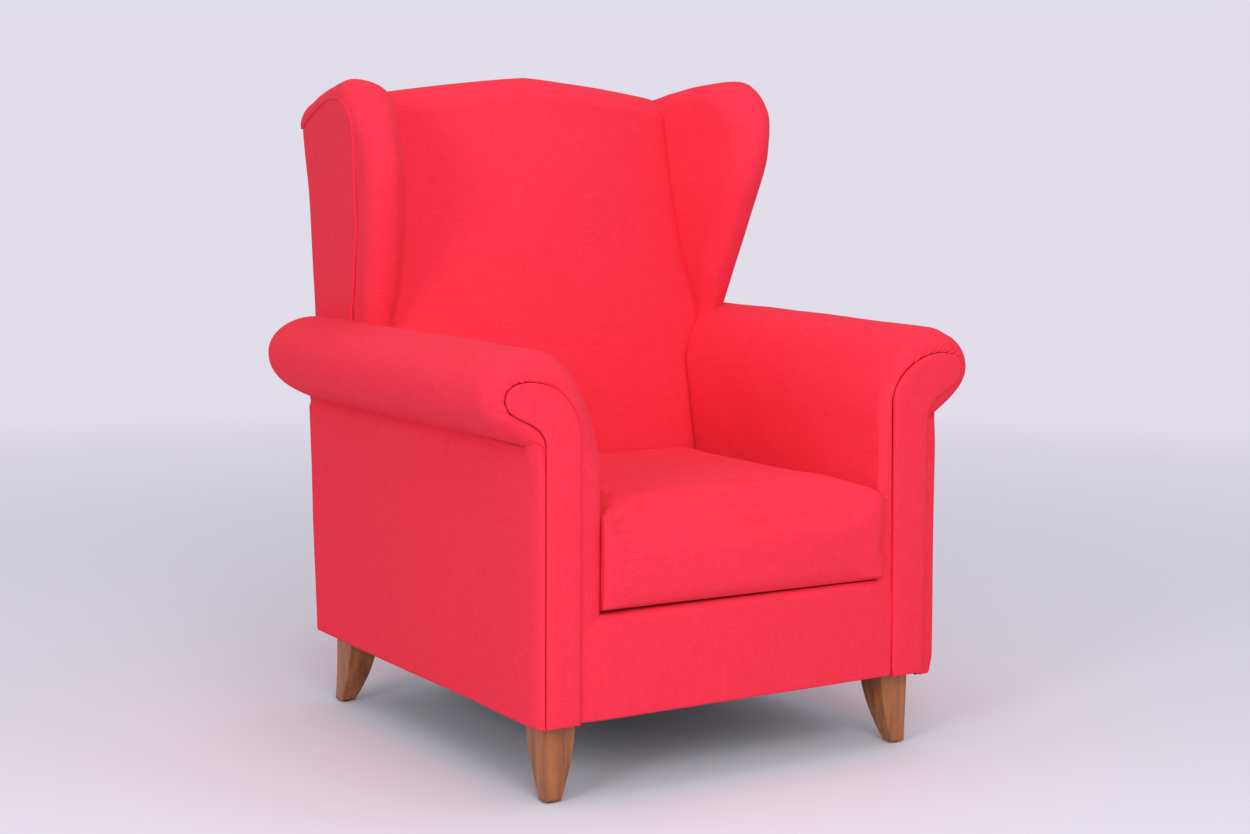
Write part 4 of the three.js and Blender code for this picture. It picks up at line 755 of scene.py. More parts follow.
def back_path(across, inset, tuck):
    """Side view of the inside back at a share across it, from its foot up and over to the rear."""
    top_edge = crest_height(across * SEAT_HALF)
    shoulder = top_edge - TOP_ROUND_HEIGHT
    heights = mix(BACK_FOOT, shoulder, shares(70))
    face = back_face(across, heights) + inset + tuck
    turn = quarter_turn(16)[1:]
    over_y = face[-1] + (TOP_ROUND_DEPTH - inset) * (1 - np.cos(turn))
    over_z = shoulder + (TOP_ROUND_HEIGHT - inset) * np.sin(turn)
    end = rear_depth(top_edge - REAR_DROP) - PANEL - CLEARANCE + 4
    run = shares(15)[1:]
    back_y = mix(over_y[-1], end, run)
    back_z = top_edge - inset - REAR_DROP * ease(run)
    return np.concatenate([face, over_y, back_y]), np.concatenate([heights, over_z, back_z])


def back_half_width(z):
    wide = rising(z, ARM_HEIGHT - ARM_SHOULDER, ARM_SHOULDER)
    return mix(SEAT_HALF - CLEARANCE, wing_inner_x(z) + BACK_TUCK, wide)


def inside_back():
    """Inside of the back: crowned, pulled in at the arms and wings, and rolled over the top."""
    outer = []
    inner = []
    for across in np.sin(shares(90, -1.0, 1.0) * math.pi / 2):
        tuck = 9.0 * math.exp(-(1 - abs(across)) * SEAT_HALF / 7.0)
        for grid, inset in ((outer, 0.0), (inner, COVER + 4.0)):
            y, z = back_path(across, inset, tuck)
            grid.append(spots(across * back_half_width(z), y, z))
    outer = np.array(outer)
    swollen(outer, 1.3 * unevenness(outer, 300, 81) + 0.5 * unevenness(outer, 110, 82))
    return padded_sheet("inside_back", outer, np.array(inner))


def outside_back():
    """Rear panel from the lower edge to the camel top and over the wings' rear ends."""
    across = np.concatenate([[-1, -0.995, -0.985], shares(64, -0.97, 0.97), [0.985, 0.995, 1]])
    up = np.concatenate([[0, 0.004, 0.012], shares(70, 0.02, 0.985), [0.993, 1]])[:, None]
    x_top = np.abs(across) * (WING_REAR_HALF - 1)
    middle = (WING_REAR_HALF + SEAT_HALF) / 2
    wing_half = (WING_REAR_HALF - SEAT_HALF) / 2
    from_middle = (x_top - middle) / wing_half
    ridge = WING_CREST - by_side(WING_REAR_FALLS, across)
    rolled = ridge - NOSE_RADIUS * (1 - np.sqrt(1 - clamp(from_middle) ** 2))
    wing_top = np.where(x_top < middle, mix(ridge, top_beside_back(900), clamp(-from_middle)), rolled)
    crest_edge = crest_height(np.minimum(x_top, SEAT_HALF)) - REAR_DROP
    top = mix(crest_edge, wing_top, rising(x_top, SEAT_HALF - 6, 12))
    top -= by_side(WING_TOP_DROPS, across) * rising(x_top, SEAT_HALF, 34)
    top += 2.5 * rising(x_top, SEAT_HALF - 2, 8)
    z = mix(BASE_BOTTOM, top + 1.5, up)
    half = rear_half_width(z) - PANEL + 5
    rim = np.minimum((1 - np.abs(across)) * half, np.minimum(up, 1 - up) * (top - BASE_BOTTOM))
    swell = 2.8 * ease(rim / 60) - 4.0 * (1 - ease(rim / 3.0))
    outer = spots(across * half, rear_depth(z) + swell, z)
    inner = spots(across * half, rear_depth(z) - PANEL, z)
    outer[..., 1] += 0.8 * unevenness(outer, 280, 91)
    return padded_sheet("outside_back", outer, inner)


# Seat

def front_border():
    """Border from facing to facing, rolled over its top edge and run back over the deck."""
    across = np.concatenate([
        [-1, -0.997, -0.99], shares(24, -0.98, -0.9), shares(60, -0.89, 0.89),
        shares(24, 0.9, 0.98), [0.99, 0.997, 1],
    ])
    turn = quarter_turn(10)[1:]
    outer = []
    inner = []
    for share in across:
        facing = FACINGS[1 if share > 0 else -1]
        half = SEAT_HALF + facing["in"] + facing["lean"] - 0.6
        x = share * half
        rim = (1 - abs(share)) * half
        top = DECK_TOP - 24 * clamp((abs(x) - (SEAT_HALF - 14)) / 34)
        face = FACING_PROUD - 1.0 + 3.2 * math.exp(-rim / 1.2) - 2.0 * ease(rim / 60)
        run = mix(DECK_RETURN, 21.0, clamp((abs(x) - (SEAT_HALF - 16)) / 20))
        y = np.concatenate([
            [12.0, 9.0, face + 2.4, face + 0.9, face + 0.2],
            np.full(40, face),
            face + BORDER_ROUND * (1 - np.cos(turn)),
            np.linspace(face + BORDER_ROUND, run, 12)[1:],
        ])
        z = np.concatenate([
            BORDER_BOTTOM + np.array([2.5, -0.4, -1.3, -0.6, 1.2]),
            np.linspace(BORDER_BOTTOM + 6, top - BORDER_ROUND, 40),
            top - BORDER_ROUND * (1 - np.sin(turn)),
            np.full(11, top),
        ])
        outer.append(spots(x, y, z))
        inner.append(spots(x, np.maximum(y + 3, 14), np.minimum(z, top - 4)))
    outer = np.array(outer)
    outer[..., 1] += 0.8 * unevenness(outer, 180, 95) + 0.3 * unevenness(outer, 55, 96)
    return padded_sheet("front_border", outer, np.array(inner))


def level_cloth(name, node, count, shape):
    """Level cloth over the place of a node, with heights that a shape gives from its edge inwards."""
    low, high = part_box(node)
    x = np.linspace(low.x * 1000, high.x * 1000, count)
    y = np.linspace(low.y * 1000, high.y * 1000, count)[:, None] - FRONT_PLACE
    rim = np.minimum(x[-1] - np.abs(x), np.minimum(y - y[0], y[-1] - y))
    first, second = shape(rim, high.z * 1000)
    return padded_sheet(name, spots(x, y, first), spots(x, y, second))


def domed_deck(rim, top):
    """The deck's cover, a little domed between the border and the back, and the pad under it."""
    return DECK_TOP - 2.4 + 2.0 * ease(rim / 50), DECK_TOP - COVER


def hanging(sag):
    """Thin cloth fixed round its edge that hangs a little in the middle."""
    def shape(rim, top):
        under = top - 0.9 - sag * ease(rim / 160)
        return under, under + 0.8
    return shape


def leaning_cloth(name, node):
    """Thin cloth stretched over the leaning frame of the back."""
    low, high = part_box(node)
    up = shares(40)[:, None]
    x = np.linspace(low.x * 1000 + 1, high.x * 1000 - 1, 40)
    y = mix(low.y * 1000, high.y * 1000 - 1.6, up) - FRONT_PLACE
    front = spots(x, y, mix(low.z * 1000, high.z * 1000, up))
    return padded_sheet(name, front, front + (0.0, 0.8, 0.0))


def cushion_loop(inset, z):
    """One level of the box cushion, drawn in by a distance."""
    half_x = CUSHION_HALF - inset
    half_y = CUSHION_REACH - inset
    corner = max(CUSHION_CORNER - inset * 0.3, CUSHION_CORNER / 3)
    points = []
    for quarter in range(4):
        turn = quarter * math.pi / 2
        along, out = (half_x, half_y) if quarter % 2 else (half_y, half_x)
        flat = [(share * along, out) for share in np.linspace(-0.85, 0.85, 17)]
        bend = [
            (along - corner * (1 - math.sin(t)), out - corner * (1 - math.cos(t)))
            for t in quarter_turn(8)[:-1]
        ]
        for a, b in flat + bend:
            x = b * math.cos(turn) - a * math.sin(turn)
            points.append((x, CUSHION_MIDDLE + b * math.sin(turn) + a * math.cos(turn), z))
    return points


def cushion_rows(slim):
    """The cushion a little slimmer than its cover, before it is filled."""
    bottom = CUSHION_BOTTOM
    top = CUSHION_BOTTOM + CUSHION_HEIGHT - slim
    low = CUSHION_LOW_ROUND
    high = CUSHION_TOP_ROUND
    rows = [cushion_loop(slim + 80, bottom), cushion_loop(slim + 30, bottom)]
    for t in quarter_turn(6):
        rows.append(cushion_loop(slim + low * (1 - math.sin(t)), bottom + low * (1 - math.cos(t))))
    for z in np.linspace(bottom + low, top - high, 8)[1:-1]:
        rows.append(cushion_loop(slim, z))
    for t in quarter_turn(8):
        rows.append(cushion_loop(slim + high * (1 - math.cos(t)), top - high * (1 - math.sin(t))))
    for share in (0.25, 0.5, 0.75, 0.92):
        lift = CUSHION_CROWN * (1 - (1 - share) ** 2)
        rows.append(cushion_loop(slim + mix(high, 235, share), top + lift))
    return np.array(rows)


def corners_of(made):
    """Places of a piece's points in millimetres in the chair."""
    flat = np.empty(len(made.data.vertices) * 3)
    made.data.vertices.foreach_get("co", flat)
    return flat.reshape(-1, 3) * 1000 - np.array([0.0, FRONT_PLACE, 0.0])


def put_back(made, points):
    made.data.vertices.foreach_set("co", place(points).ravel())
    made.data.update()


def keep_modifier(made, modifier):
    """Works a modifier's shape into the piece's own mesh."""
    bpy.context.view_layer.update()
    shaped = bpy.data.meshes.new_from_object(made.evaluated_get(bpy.context.evaluated_depsgraph_get()))
    made.modifiers.remove(modifier)
    made.data = shaped


def meshed_evenly(made):
    even = made.modifiers.new("even_mesh", "REMESH")
    even.mode = "VOXEL"
    even.voxel_size = EVEN_MESH_SIZE
    keep_modifier(made, even)


def filled(made):
    """Blows a sewn piece up like a filled cushion, with its underside held where it is."""
    before = corners_of(made)
    group = made.vertex_groups.new(name="resting")
    resting = np.nonzero(before[:, 2] < CUSHION_BOTTOM + 1.5)[0]
    group.add([int(i) for i in resting], 1.0, "REPLACE")
    cloth = made.modifiers.new("filling", "CLOTH")
    cloth.settings.quality = 4
    cloth.settings.use_pressure = True
    cloth.settings.uniform_pressure_force = FILLING_PRESSURE
    cloth.settings.effector_weights.gravity = 0
    cloth.settings.vertex_group_mass = "resting"
    cloth.settings.tension_stiffness = 25
    cloth.settings.compression_stiffness = 25
    cloth.settings.bending_stiffness = 1.5
    cloth.collision_settings.use_collision = False
    cloth.point_cache.frame_start = 1
    cloth.point_cache.frame_end = FILLING_FRAMES
    for step in range(1, FILLING_FRAMES + 1):
        bpy.context.scene.frame_set(step)
    keep_modifier(made, cloth)
    move = corners_of(made) - before
    far = np.linalg.norm(move, axis=1, keepdims=True)
    put_back(made, before + move * np.minimum(1, FILLING_MOST_MOVE / np.maximum(far, 1e-6)))
    made.vertex_groups.clear()
    bpy.context.scene.frame_set(1)


def crease(points, line, depth, width):
    """A drawn-in fold along a line on the front of the cushion, with a soft ridge above it."""
    flat = points[:, [0, 2]]
    nearest = np.full(len(flat), 1e9)
    signed = np.zeros(len(flat))
    for a, b in zip(line[:-1], line[1:]):
        share = clamp(((flat - a) @ (b - a)) / ((b - a) @ (b - a)))
        off = flat - a - share[:, None] * (b - a)
        away = np.linalg.norm(off, axis=1)
        signed = np.where(away < nearest, np.sign(off[:, 1]) * away, signed)
        nearest = np.minimum(nearest, away)
    ends = np.minimum(np.hypot(*(flat - line[0]).T), np.hypot(*(flat - line[-1]).T))
    fade = ease(ends / 12) * falling(points[:, 1], 10, 25)
    fold = -np.exp(-(nearest / width) ** 2) + 0.7 * np.exp(-((signed + 2.2 * width) / (1.5 * width)) ** 2)
    return depth * fold * fade * (nearest < 6 * width)


def softly_within(values, room):
    """Values held inside a room on both sides, with a soft turn at its walls."""
    soft = 5.0
    over = np.maximum(np.abs(values) - (room - soft), 0)
    return np.sign(values) * (np.minimum(np.abs(values), room - soft) + soft * (1 - np.exp(-over / soft)))


def seat_cushion():
    """Loose box cushion: filled, pressed against the deck, the arms and the back, then creased."""
    made = loops("seat_cushion", cushion_rows(6.0), body="seat_cushion")
    meshed_evenly(made)
    filled(made)
    finer = made.modifiers.new("finer", "SUBSURF")
    finer.levels = 1
    keep_modifier(made, finer)
    points = corners_of(made)
    x, y, z = parts_of(points)
    swell = 1.3 * unevenness(points, 260, 101) + 0.5 * unevenness(points, 90, 102)
    on_front = (y - CUSHION_MIDDLE) / CUSHION_REACH < -0.8
    z += swell * rising(z, 330, 60)
    y += 0.7 * swell * on_front * rising(z, 290, 40)
    for line, depth, width in CUSHION_CREASES:
        y -= crease(points, np.array(line, float), depth, width)
    near_front = falling(y, 10, 120)
    near_side = rising(np.abs(x), 190, 60)
    z += 4 * near_side * near_front * rising(z, 380, 40)
    x *= 1 + 0.07 * near_front
    y -= 10 * near_side * falling(y, 5, 60) * rising(z, CUSHION_BOTTOM, 10)
    x[:] = softly_within(x, CUSHION_HALF + 4.5 * falling(y, 1, 9))
    front = CUSHION_FRONT + 2
    over = np.maximum(front - y, 0)
    y[:] = np.maximum(y, front) - 5 * (1 - np.exp(-over / 5))
    y[:] = np.minimum(y, back_face(x / SEAT_HALF, z) - 2.0)
    lift = CUSHION_FRONT_LIFT * falling(y, 4, 60) * falling(z, 286, 14)
    z[:] = np.maximum(z, CUSHION_BOTTOM) + lift * clamp(0.75 - x / 600)
    put_back(made, points)
    smooth(made.data)
    return made


# Legs

def leg(name, side, front):
    """Swept leg: straight outer faces, curved inner and rear faces, edges eased."""
    top_y, foot_y, start_y, sweep = LEG_DEPTHS[front]
    rows = []
    for t in shares(28):
        curve = t ** LEG_CURVE_SHARE
        x1 = LEG_OUTER - LEG_SPLAY * t
        x0 = x1 - mix(*LEG_WIDTHS, curve)
        y0 = start_y + sweep * curve
        y1 = y0 + mix(top_y, foot_y, curve)
        ring = []
        for cx, cy, begin in ((x1, y1, 0), (x0, y1, 90), (x0, y0, 180), (x1, y0, 270)):
            centre_x = cx - LEG_EDGE if cx == x1 else cx + LEG_EDGE
            centre_y = cy - LEG_EDGE if cy == y1 else cy + LEG_EDGE
            for angle in np.radians(np.linspace(begin, begin + 90, 5)):
                x = centre_x + LEG_EDGE * math.cos(angle)
                ring.append((x, centre_y + LEG_EDGE * math.sin(angle), mix(LEG_TOP, LEG_BOTTOM, t)))
        rows.append(ring)
    return loops(name, rows, side)


# Materials

FLOAT = "NodeSocketFloat"
COLOUR = "NodeSocketColor"
EVEN = (1.0, 1.0, 1.0)


def srgb(red, green, blue):
    """Colour as written in a paint chart, 0 to 255, to the shader's linear values."""
    def linear(value):
        value = value / 255
        return value / 12.92 if value <= 0.04045 else ((value + 0.055) / 1.055) ** 2.4
    return (linear(red), linear(green), linear(blue), 1.0)


def principled(name, roughness, sheen=0.0, sheen_tint=(1, 1, 1, 1), coat=0.0, specular=0.5, metallic=0.0):
    material = bpy.data.materials.new(name)
    material.use_nodes = True
    shader = material.node_tree.nodes["Principled BSDF"]
    for socket, value in (
        ("Roughness", roughness),
        ("Metallic", metallic),
        ("Sheen Weight", sheen),
        ("Sheen Roughness", 0.5),
        ("Sheen Tint", sheen_tint),
        ("Coat Weight", coat),
        ("Coat Roughness", 0.3),
        ("Specular IOR Level", specular),
    ):
        shader.inputs[socket].default_value = value
    return material, material.node_tree, shader


def add_node(tree, kind, **values):
    node = tree.nodes.new(kind)
    for key, value in values.items():
        setattr(node, key, value)
    return node


def feed(tree, socket, value):
    """Joins a socket to another node's output, or sets it to a plain value."""
    if isinstance(value, bpy.types.NodeSocket):
        tree.links.new(value, socket)
    else:
        socket.default_value = value


def fed(tree, node, *values):
    """A node with its first sockets fed in order."""
    for socket, value in zip(node.inputs, values):
        feed(tree, socket, value)
    return node


def sum_of(tree, operation, a, b=0.0, c=0.0):
    return fed(tree, add_node(tree, "ShaderNodeMath", operation=operation), a, b, c).outputs[0]


def ranged(tree, value, low, high, to_low, to_high):
    node = add_node(tree, "ShaderNodeMapRange")
    return fed(tree, node, value, low, high, to_low, to_high).outputs["Result"]


def blended(tree, share, a, b):
    """Colour between two colours."""
    node = add_node(tree, "ShaderNodeMix", data_type="RGBA")
    for name, value in (("Factor", share), ("A", a), ("B", b)):
        feed(tree, node.inputs[name], value)
    return node.outputs["Result"]


def drawn_out(tree, where, by):
    """Places drawn out along the frame's directions."""
    return fed(tree, add_node(tree, "ShaderNodeVectorMath", operation="MULTIPLY"), where, by).outputs[0]


def speckle(tree, where, scale, detail=2.0, stretch_by=EVEN):
    """Noise at a scale."""
    noise = add_node(tree, "ShaderNodeTexNoise")
    feed(tree, noise.inputs["Vector"], drawn_out(tree, where, stretch_by))
    feed(tree, noise.inputs["Scale"], scale)
    noise.inputs["Detail"].default_value = detail
    noise.inputs["Roughness"].default_value = 0.55
    return noise.outputs["Fac"]


def finish_group(name, main_colour, second_colour, **values):
    """Group of nodes with two colours and some values in, and a finish out."""
    group = bpy.data.node_groups.new(name, "ShaderNodeTree")
    for label in (main_colour, second_colour):
        group.interface.new_socket(name=label, in_out="INPUT", socket_type=COLOUR)
    for label, value in values.items():
        label = label.replace("_", " ")
        group.interface.new_socket(name=label, in_out="INPUT", socket_type=FLOAT).default_value = value
    for label, kind in (("Colour", COLOUR), ("Height", FLOAT), ("Roughness", FLOAT)):
        group.interface.new_socket(name=label, in_out="OUTPUT", socket_type=kind)
    given = add_node(group, "NodeGroupInput").outputs
    return group, given, add_node(group, "ShaderNodeTexCoord").outputs


def finish_given(group, given, tone, height, roughness):
    """Colour from the second to the main one by a tone, with a height and a roughness."""
    made = add_node(group, "NodeGroupOutput")
    fed(group, made, blended(group, tone, given[1], given[0]), height, roughness)
    return group


def woven_threads():
    """Plain weave: threads over and under on each face of the piece, with slubs and soft mottling."""
    group, given, found = finish_group(
        "woven_threads", "Colour", "Shadow Colour", Threads_per_Metre=900.0, Slubs=0.5, Mottling=0.3,
    )
    where = found["Object"]
    ways = fed(group, add_node(group, "ShaderNodeSeparateXYZ"), where).outputs
    turn = sum_of(group, "MULTIPLY", given["Threads per Metre"], math.pi)
    waves = [sum_of(group, "SINE", sum_of(group, "MULTIPLY", way, turn)) for way in ways]
    facing = fed(group, add_node(group, "ShaderNodeSeparateXYZ"), found["Normal"]).outputs
    weights = [sum_of(group, "POWER", sum_of(group, "ABSOLUTE", way), 5.0) for way in facing]
    total = sum_of(group, "ADD", sum_of(group, "ADD", weights[0], weights[1]), weights[2])
    weave = 0.0
    for weight, (a, b) in zip(weights, ((1, 2), (0, 2), (0, 1))):
        over = ranged(group, sum_of(group, "MULTIPLY", waves[a], waves[b]), -0.12, 0.12, 0.0, 1.0)
        warp = sum_of(group, "ABSOLUTE", waves[a])
        weft = sum_of(group, "ABSOLUTE", waves[b])
        threads = sum_of(group, "MULTIPLY_ADD", over, sum_of(group, "SUBTRACT", warp, weft), weft)
        weave = sum_of(group, "MULTIPLY_ADD", threads, sum_of(group, "DIVIDE", weight, total), weave)
    upright = speckle(group, where, 620.0, stretch_by=(1.0, 1.0, 0.09))
    level = speckle(group, where, 620.0, stretch_by=(0.09, 0.09, 1.0))
    slub = sum_of(group, "SUBTRACT", sum_of(group, "MAXIMUM", upright, level), 0.5)
    broad = sum_of(group, "SUBTRACT", speckle(group, where, 34.0, 3.0), 0.5)
    depth = sum_of(group, "MULTIPLY_ADD", slub, given["Slubs"], sum_of(group, "MULTIPLY", weave, 0.45))
    shade = sum_of(group, "MULTIPLY_ADD", broad, given["Mottling"], depth)
    tone = ranged(group, shade, 0.0, 0.75, 0.0, 1.0)
    return finish_given(group, given, tone, depth, ranged(group, slub, -0.1, 0.3, 0.92, 0.74))


def wood_grain():
    """Long grain with darker pores and slow bands, running up the piece or along it."""
    group, given, found = finish_group(
        "wood_grain", "Light Colour", "Dark Colour", Along_X=1.0, Along_Y=1.0, Along_Z=0.06, Gloss=0.35,
    )
    along = fed(group, add_node(group, "ShaderNodeCombineXYZ"), *(given["Along " + way] for way in "XYZ"))
    drawn = drawn_out(group, found["Object"], along.outputs[0])
    bands = speckle(group, drawn, 95.0, 4.0)
    pores = speckle(group, drawn, 1100.0)
    dark = ranged(group, pores, 0.56, 0.72, 0.0, 0.55)
    tone = sum_of(group, "SUBTRACT", ranged(group, bands, 0.3, 0.7, 0.1, 1.0), dark)
    height = sum_of(group, "SUBTRACT", 1.0, dark)
    roughness = sum_of(group, "MULTIPLY_ADD", bands, 0.16, given["Gloss"])
    return finish_given(group, given, tone, height, roughness)


def fine_grain():
    """Small uneven grain with rubbed places, for metal, plastic and bonded cloth."""
    group, given, found = finish_group(
        "fine_grain", "Worn Colour", "Colour", Grains_per_Metre=900.0, Gloss=0.4,
    )
    grain = speckle(group, found["Object"], given["Grains per Metre"], 3.0)
    rubbed = speckle(group, found["Object"], 60.0, 3.0)
    tone = sum_of(group, "MULTIPLY_ADD", grain, 0.5, ranged(group, rubbed, 0.35, 0.7, 0.0, 0.5))
    roughness = sum_of(group, "MULTIPLY_ADD", rubbed, 0.25, given["Gloss"])
    return finish_given(group, given, tone, grain, roughness)


def finished(name, group, main_colour, second_colour, bump, bump_depth, values, **looks):
    """Material whose colour, roughness and relief come from one of the finish groups."""
    material, tree, shader = principled(name, 0.5, **looks)
    finish = add_node(tree, "ShaderNodeGroup")
    finish.node_tree = group
    fed(tree, finish, srgb(*main_colour), srgb(*second_colour))
    for key, value in values.items():
        finish.inputs[key].default_value = value
    feed(tree, shader.inputs["Base Color"], finish.outputs["Colour"])
    feed(tree, shader.inputs["Roughness"], finish.outputs["Roughness"])
    relief = add_node(tree, "ShaderNodeBump")
    relief.inputs["Strength"].default_value = bump
    relief.inputs["Distance"].default_value = bump_depth
    feed(tree, relief.inputs["Height"], finish.outputs["Height"])
    feed(tree, shader.inputs["Normal"], relief.outputs["Normal"])
    return material


WEAVE = woven_threads()
GRAIN = wood_grain()
FINE = fine_grain()

COVER_CLOTH = finished(
    "cover_cloth", WEAVE, (249, 66, 90), (227, 38, 58), 0.28, 0.0005,
    {"Slubs": 0.7, "Mottling": 0.1}, sheen=0.05, sheen_tint=(1.0, 0.4, 0.45, 1.0), specular=0.06,
)
BLACK_CLOTH = finished(
    "black_lining", FINE, (44, 42, 44), (18, 17, 18), 0.4, 0.0005,
    {"Grains per Metre": 1500.0, "Gloss": 0.72}, sheen=0.1,
)
HESSIAN_CLOTH = finished(
    "hessian_cloth", WEAVE, (178, 148, 104), (96, 74, 44), 0.8, 0.001,
    {"Threads per Metre": 420.0, "Slubs": 1.4, "Mottling": 0.3},
)
LEG_WOOD = finished(
    "leg_wood", GRAIN, (176, 104, 54), (118, 64, 32), 0.15, 0.0003, {"Gloss": 0.36}, coat=0.15,
)
# Finishes of the frame's own parts, by the names of their materials
FRAME_FINISHES = {
    "spring_wire": finished(
        "spring_wire", FINE, (186, 188, 194), (140, 142, 148), 0.1, 0.0002,
        {"Grains per Metre": 700.0, "Gloss": 0.28}, metallic=1.0,
    ),
    "bolt_steel": finished(
        "bolt_steel", FINE, (206, 206, 200), (160, 162, 160), 0.15, 0.0002, {"Gloss": 0.3}, metallic=1.0,
    ),
    "zip_metal": finished(
        "zip_metal", FINE, (214, 214, 218), (172, 172, 176), 0.1, 0.0002, {"Gloss": 0.22}, metallic=1.0,
    ),
    "glide_plastic": finished(
        "glide_plastic", FINE, (52, 52, 54), (24, 24, 26), 0.2, 0.0003,
        {"Grains per Metre": 1200.0, "Gloss": 0.45},
    ),
}
FRAME_WOOD = [
    finished(
        "frame_wood_" + way, GRAIN, (214, 184, 140), (178, 142, 98), 0.25, 0.0004,
        {"Gloss": 0.55, **{"Along " + axis: 0.06 if axis == long else 1.0 for axis in "XYZ"}},
    )
    for way, long in (("across", "X"), ("deep", "Y"), ("upright", "Z"))
]


# Assembly

def dress(made, material, slot, *nodes):
    made.data.materials.clear()
    made.data.materials.append(material)
    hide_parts(*nodes)
    return made


def covered(made, fill, *nodes):
    """A padded piece in the cover's cloth."""
    dress(made, COVER_CLOTH, "cover_fabric", *nodes)


def finish_frame():
    """Finishes on the parts of the frame that keep the shape they have."""
    for name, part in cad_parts.items():
        low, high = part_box(name)
        size = high - low
        kept = part.data.materials[0].name.split(".")[0] if part.data.materials else ""
        if kept == "frame_wood":
            material = FRAME_WOOD[max(range(3), key=lambda i: size[i])]
        elif kept in FRAME_FINISHES:
            material = FRAME_FINISHES[kept]
        else:
            continue
        for slot in part.material_slots:
            slot.material = material


for side, prefix in ((-1, "left_"), (1, "right_")):
    covered(arm_cover(side, 7 + side), 0.9, prefix + "arm_cover", prefix + "arm_pad")
    covered(arm_facing(side), 1.0, prefix + "arm_front_panel")
    covered(side_panel(side), 0.9, prefix + "outside_arm_panel")
    covered(wing_cover(side), 0.9, prefix + "wing_cover", prefix + "wing_pad")
    covered(wing_outside(side), 0.9, prefix + "wing_outer_panel")
    covered(wing_welt(side), 1.0, prefix + "wing_piping")
    dress(leg(prefix + "front_leg_wood", side, True), LEG_WOOD, "leg_wood", prefix + "front_leg")
    dress(leg(prefix + "rear_leg_wood", side, False), LEG_WOOD, "leg_wood", prefix + "rear_leg")

covered(inside_back(), 0.85, "inside_back_cover", "back_pad")
covered(outside_back(), 0.9, "outside_back_panel")
covered(front_border(), 0.9, "front_border_cover")
covered(level_cloth("seat_deck", "deck_cover", 50, domed_deck), 0.9, "deck_cover", "seat_deck_pad")
covered(seat_cushion(), 0.75, "seat_cushion_cover", "seat_cushion_foam")

for made, material, slot, node in (
    (level_cloth("dust_cloth", "dust_cover", 40, hanging(2.5)), BLACK_CLOTH, "black_lining", "dust_cover"),
    (level_cloth("hessian_on_springs", "seat_hessian", 40, hanging(1.5)), HESSIAN_CLOTH, "hessian",
     "seat_hessian"),
    (leaning_cloth("hessian_on_back", "back_hessian"), HESSIAN_CLOTH, "hessian", "back_hessian"),
):
    dress(made, material, slot, node)
finish_frame()


# Studio

CAMERA_YAW = math.radians(32.3)
CAMERA_PITCH = math.radians(6.9)
CAMERA_ROLL = math.radians(0.32)
CAMERA_PLACE = Vector((-1.961, -3.18955, 0.974))
CAMERA_LENS = 63.487
FLOOR_COLOUR = srgb(223, 222, 232)
AIR_COLOUR = srgb(225, 221, 233)
AIR_LIGHT = (0.96, 0.96, 1.0, 1.0)
AIR_STRENGTH = 0.59
FLOOR_CLEAR = 1.2
FLOOR_END = 5.0
# Soft lamps: place, what they face, size and power
SOFTBOXES = (
    ("key_light", (-1.3, -3.8, 2.3), (0, 0, 0.55), (2.4, 2.0), 76),
    ("left_light", (-3.8, -2.0, 1.9), (0, 0, 0.6), (1.2, 1.2), 47),
    ("top_light", (0.2, -0.4, 4.2), (0, 0, 0.4), (3.2, 3.2), 34),
)


def linked(name, data):
    thing = bpy.data.objects.new(name, data)
    bpy.context.scene.collection.objects.link(thing)
    return thing


def studio_camera():
    forward = Vector((
        math.sin(CAMERA_YAW) * math.cos(CAMERA_PITCH),
        math.cos(CAMERA_YAW) * math.cos(CAMERA_PITCH),
        -math.sin(CAMERA_PITCH),
    ))
    level = Vector((math.cos(CAMERA_YAW), -math.sin(CAMERA_YAW), 0))
    upward = level.cross(forward)
    across = math.cos(CAMERA_ROLL) * level + math.sin(CAMERA_ROLL) * upward
    up = -math.sin(CAMERA_ROLL) * level + math.cos(CAMERA_ROLL) * upward
    lens = bpy.data.cameras.new("studio_camera")
    lens.sensor_fit = "HORIZONTAL"
    lens.sensor_width = 36
    lens.lens = CAMERA_LENS
    lens.clip_end = 60
    camera = linked("studio_camera", lens)
    turn = Matrix((across, up, -forward)).transposed().to_4x4()
    camera.matrix_world = Matrix.Translation(CAMERA_PLACE) @ turn
    bpy.context.scene.camera = camera


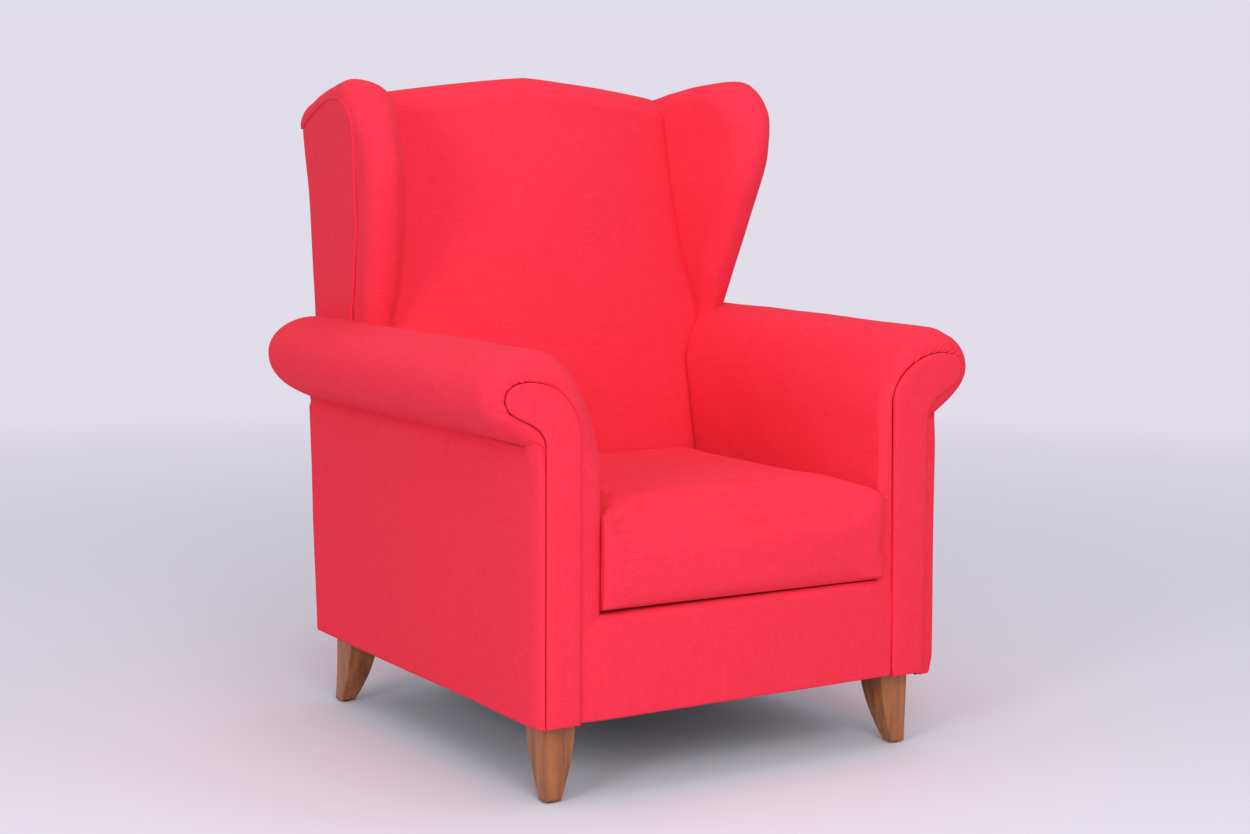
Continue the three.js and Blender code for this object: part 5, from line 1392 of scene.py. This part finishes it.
def softbox(name, stand, aim, size, power):
    light = bpy.data.lights.new(name, "AREA")
    light.shape = "RECTANGLE"
    light.size, light.size_y = size
    light.energy = power
    lamp = linked(name, light)
    lamp.location = stand
    lamp.rotation_euler = (Vector(aim) - Vector(stand)).to_track_quat("-Z", "Y").to_euler()


def studio_floor():
    """Pale floor that fades into the air of the studio far from the chair."""
    disc = bmesh.new()
    bmesh.ops.create_circle(disc, cap_ends=True, segments=64, radius=FLOOR_END)
    mesh = bpy.data.meshes.new("studio_floor")
    disc.to_mesh(mesh)
    disc.free()
    material, tree, shader = principled("studio_floor", 0.9)
    shader.inputs["Base Color"].default_value = FLOOR_COLOUR
    where = add_node(tree, "ShaderNodeTexCoord").outputs["Object"]
    away = fed(tree, add_node(tree, "ShaderNodeVectorMath", operation="LENGTH"), where).outputs["Value"]
    fade = ranged(tree, away, FLOOR_CLEAR, FLOOR_END * 0.92, 0.0, 1.0)
    clear = add_node(tree, "ShaderNodeBsdfTransparent").outputs[0]
    mixed = fed(tree, add_node(tree, "ShaderNodeMixShader"), fade, shader.outputs[0], clear)
    feed(tree, tree.nodes["Material Output"].inputs["Surface"], mixed.outputs[0])
    mesh.materials.append(material)
    linked("studio_floor", mesh)


def studio_air():
    """Even light from all round, and the pale colour that the camera sees behind the chair."""
    world = bpy.data.worlds.new("studio_air")
    bpy.context.scene.world = world
    world.use_nodes = True
    tree = world.node_tree
    lit = fed(tree, tree.nodes["Background"], AIR_LIGHT, AIR_STRENGTH).outputs[0]
    seen = fed(tree, add_node(tree, "ShaderNodeBackground"), AIR_COLOUR, 1.0).outputs[0]
    path = add_node(tree, "ShaderNodeLightPath").outputs
    which = sum_of(tree, "MAXIMUM", path["Is Camera Ray"], path["Is Glossy Ray"])
    mixed = fed(tree, add_node(tree, "ShaderNodeMixShader"), which, lit, seen)
    feed(tree, tree.nodes["World Output"].inputs["Surface"], mixed.outputs[0])


studio_camera()
studio_floor()
for lamp in SOFTBOXES:
    softbox(*lamp)
studio_air()
bpy.context.scene.view_settings.view_transform = "Standard"
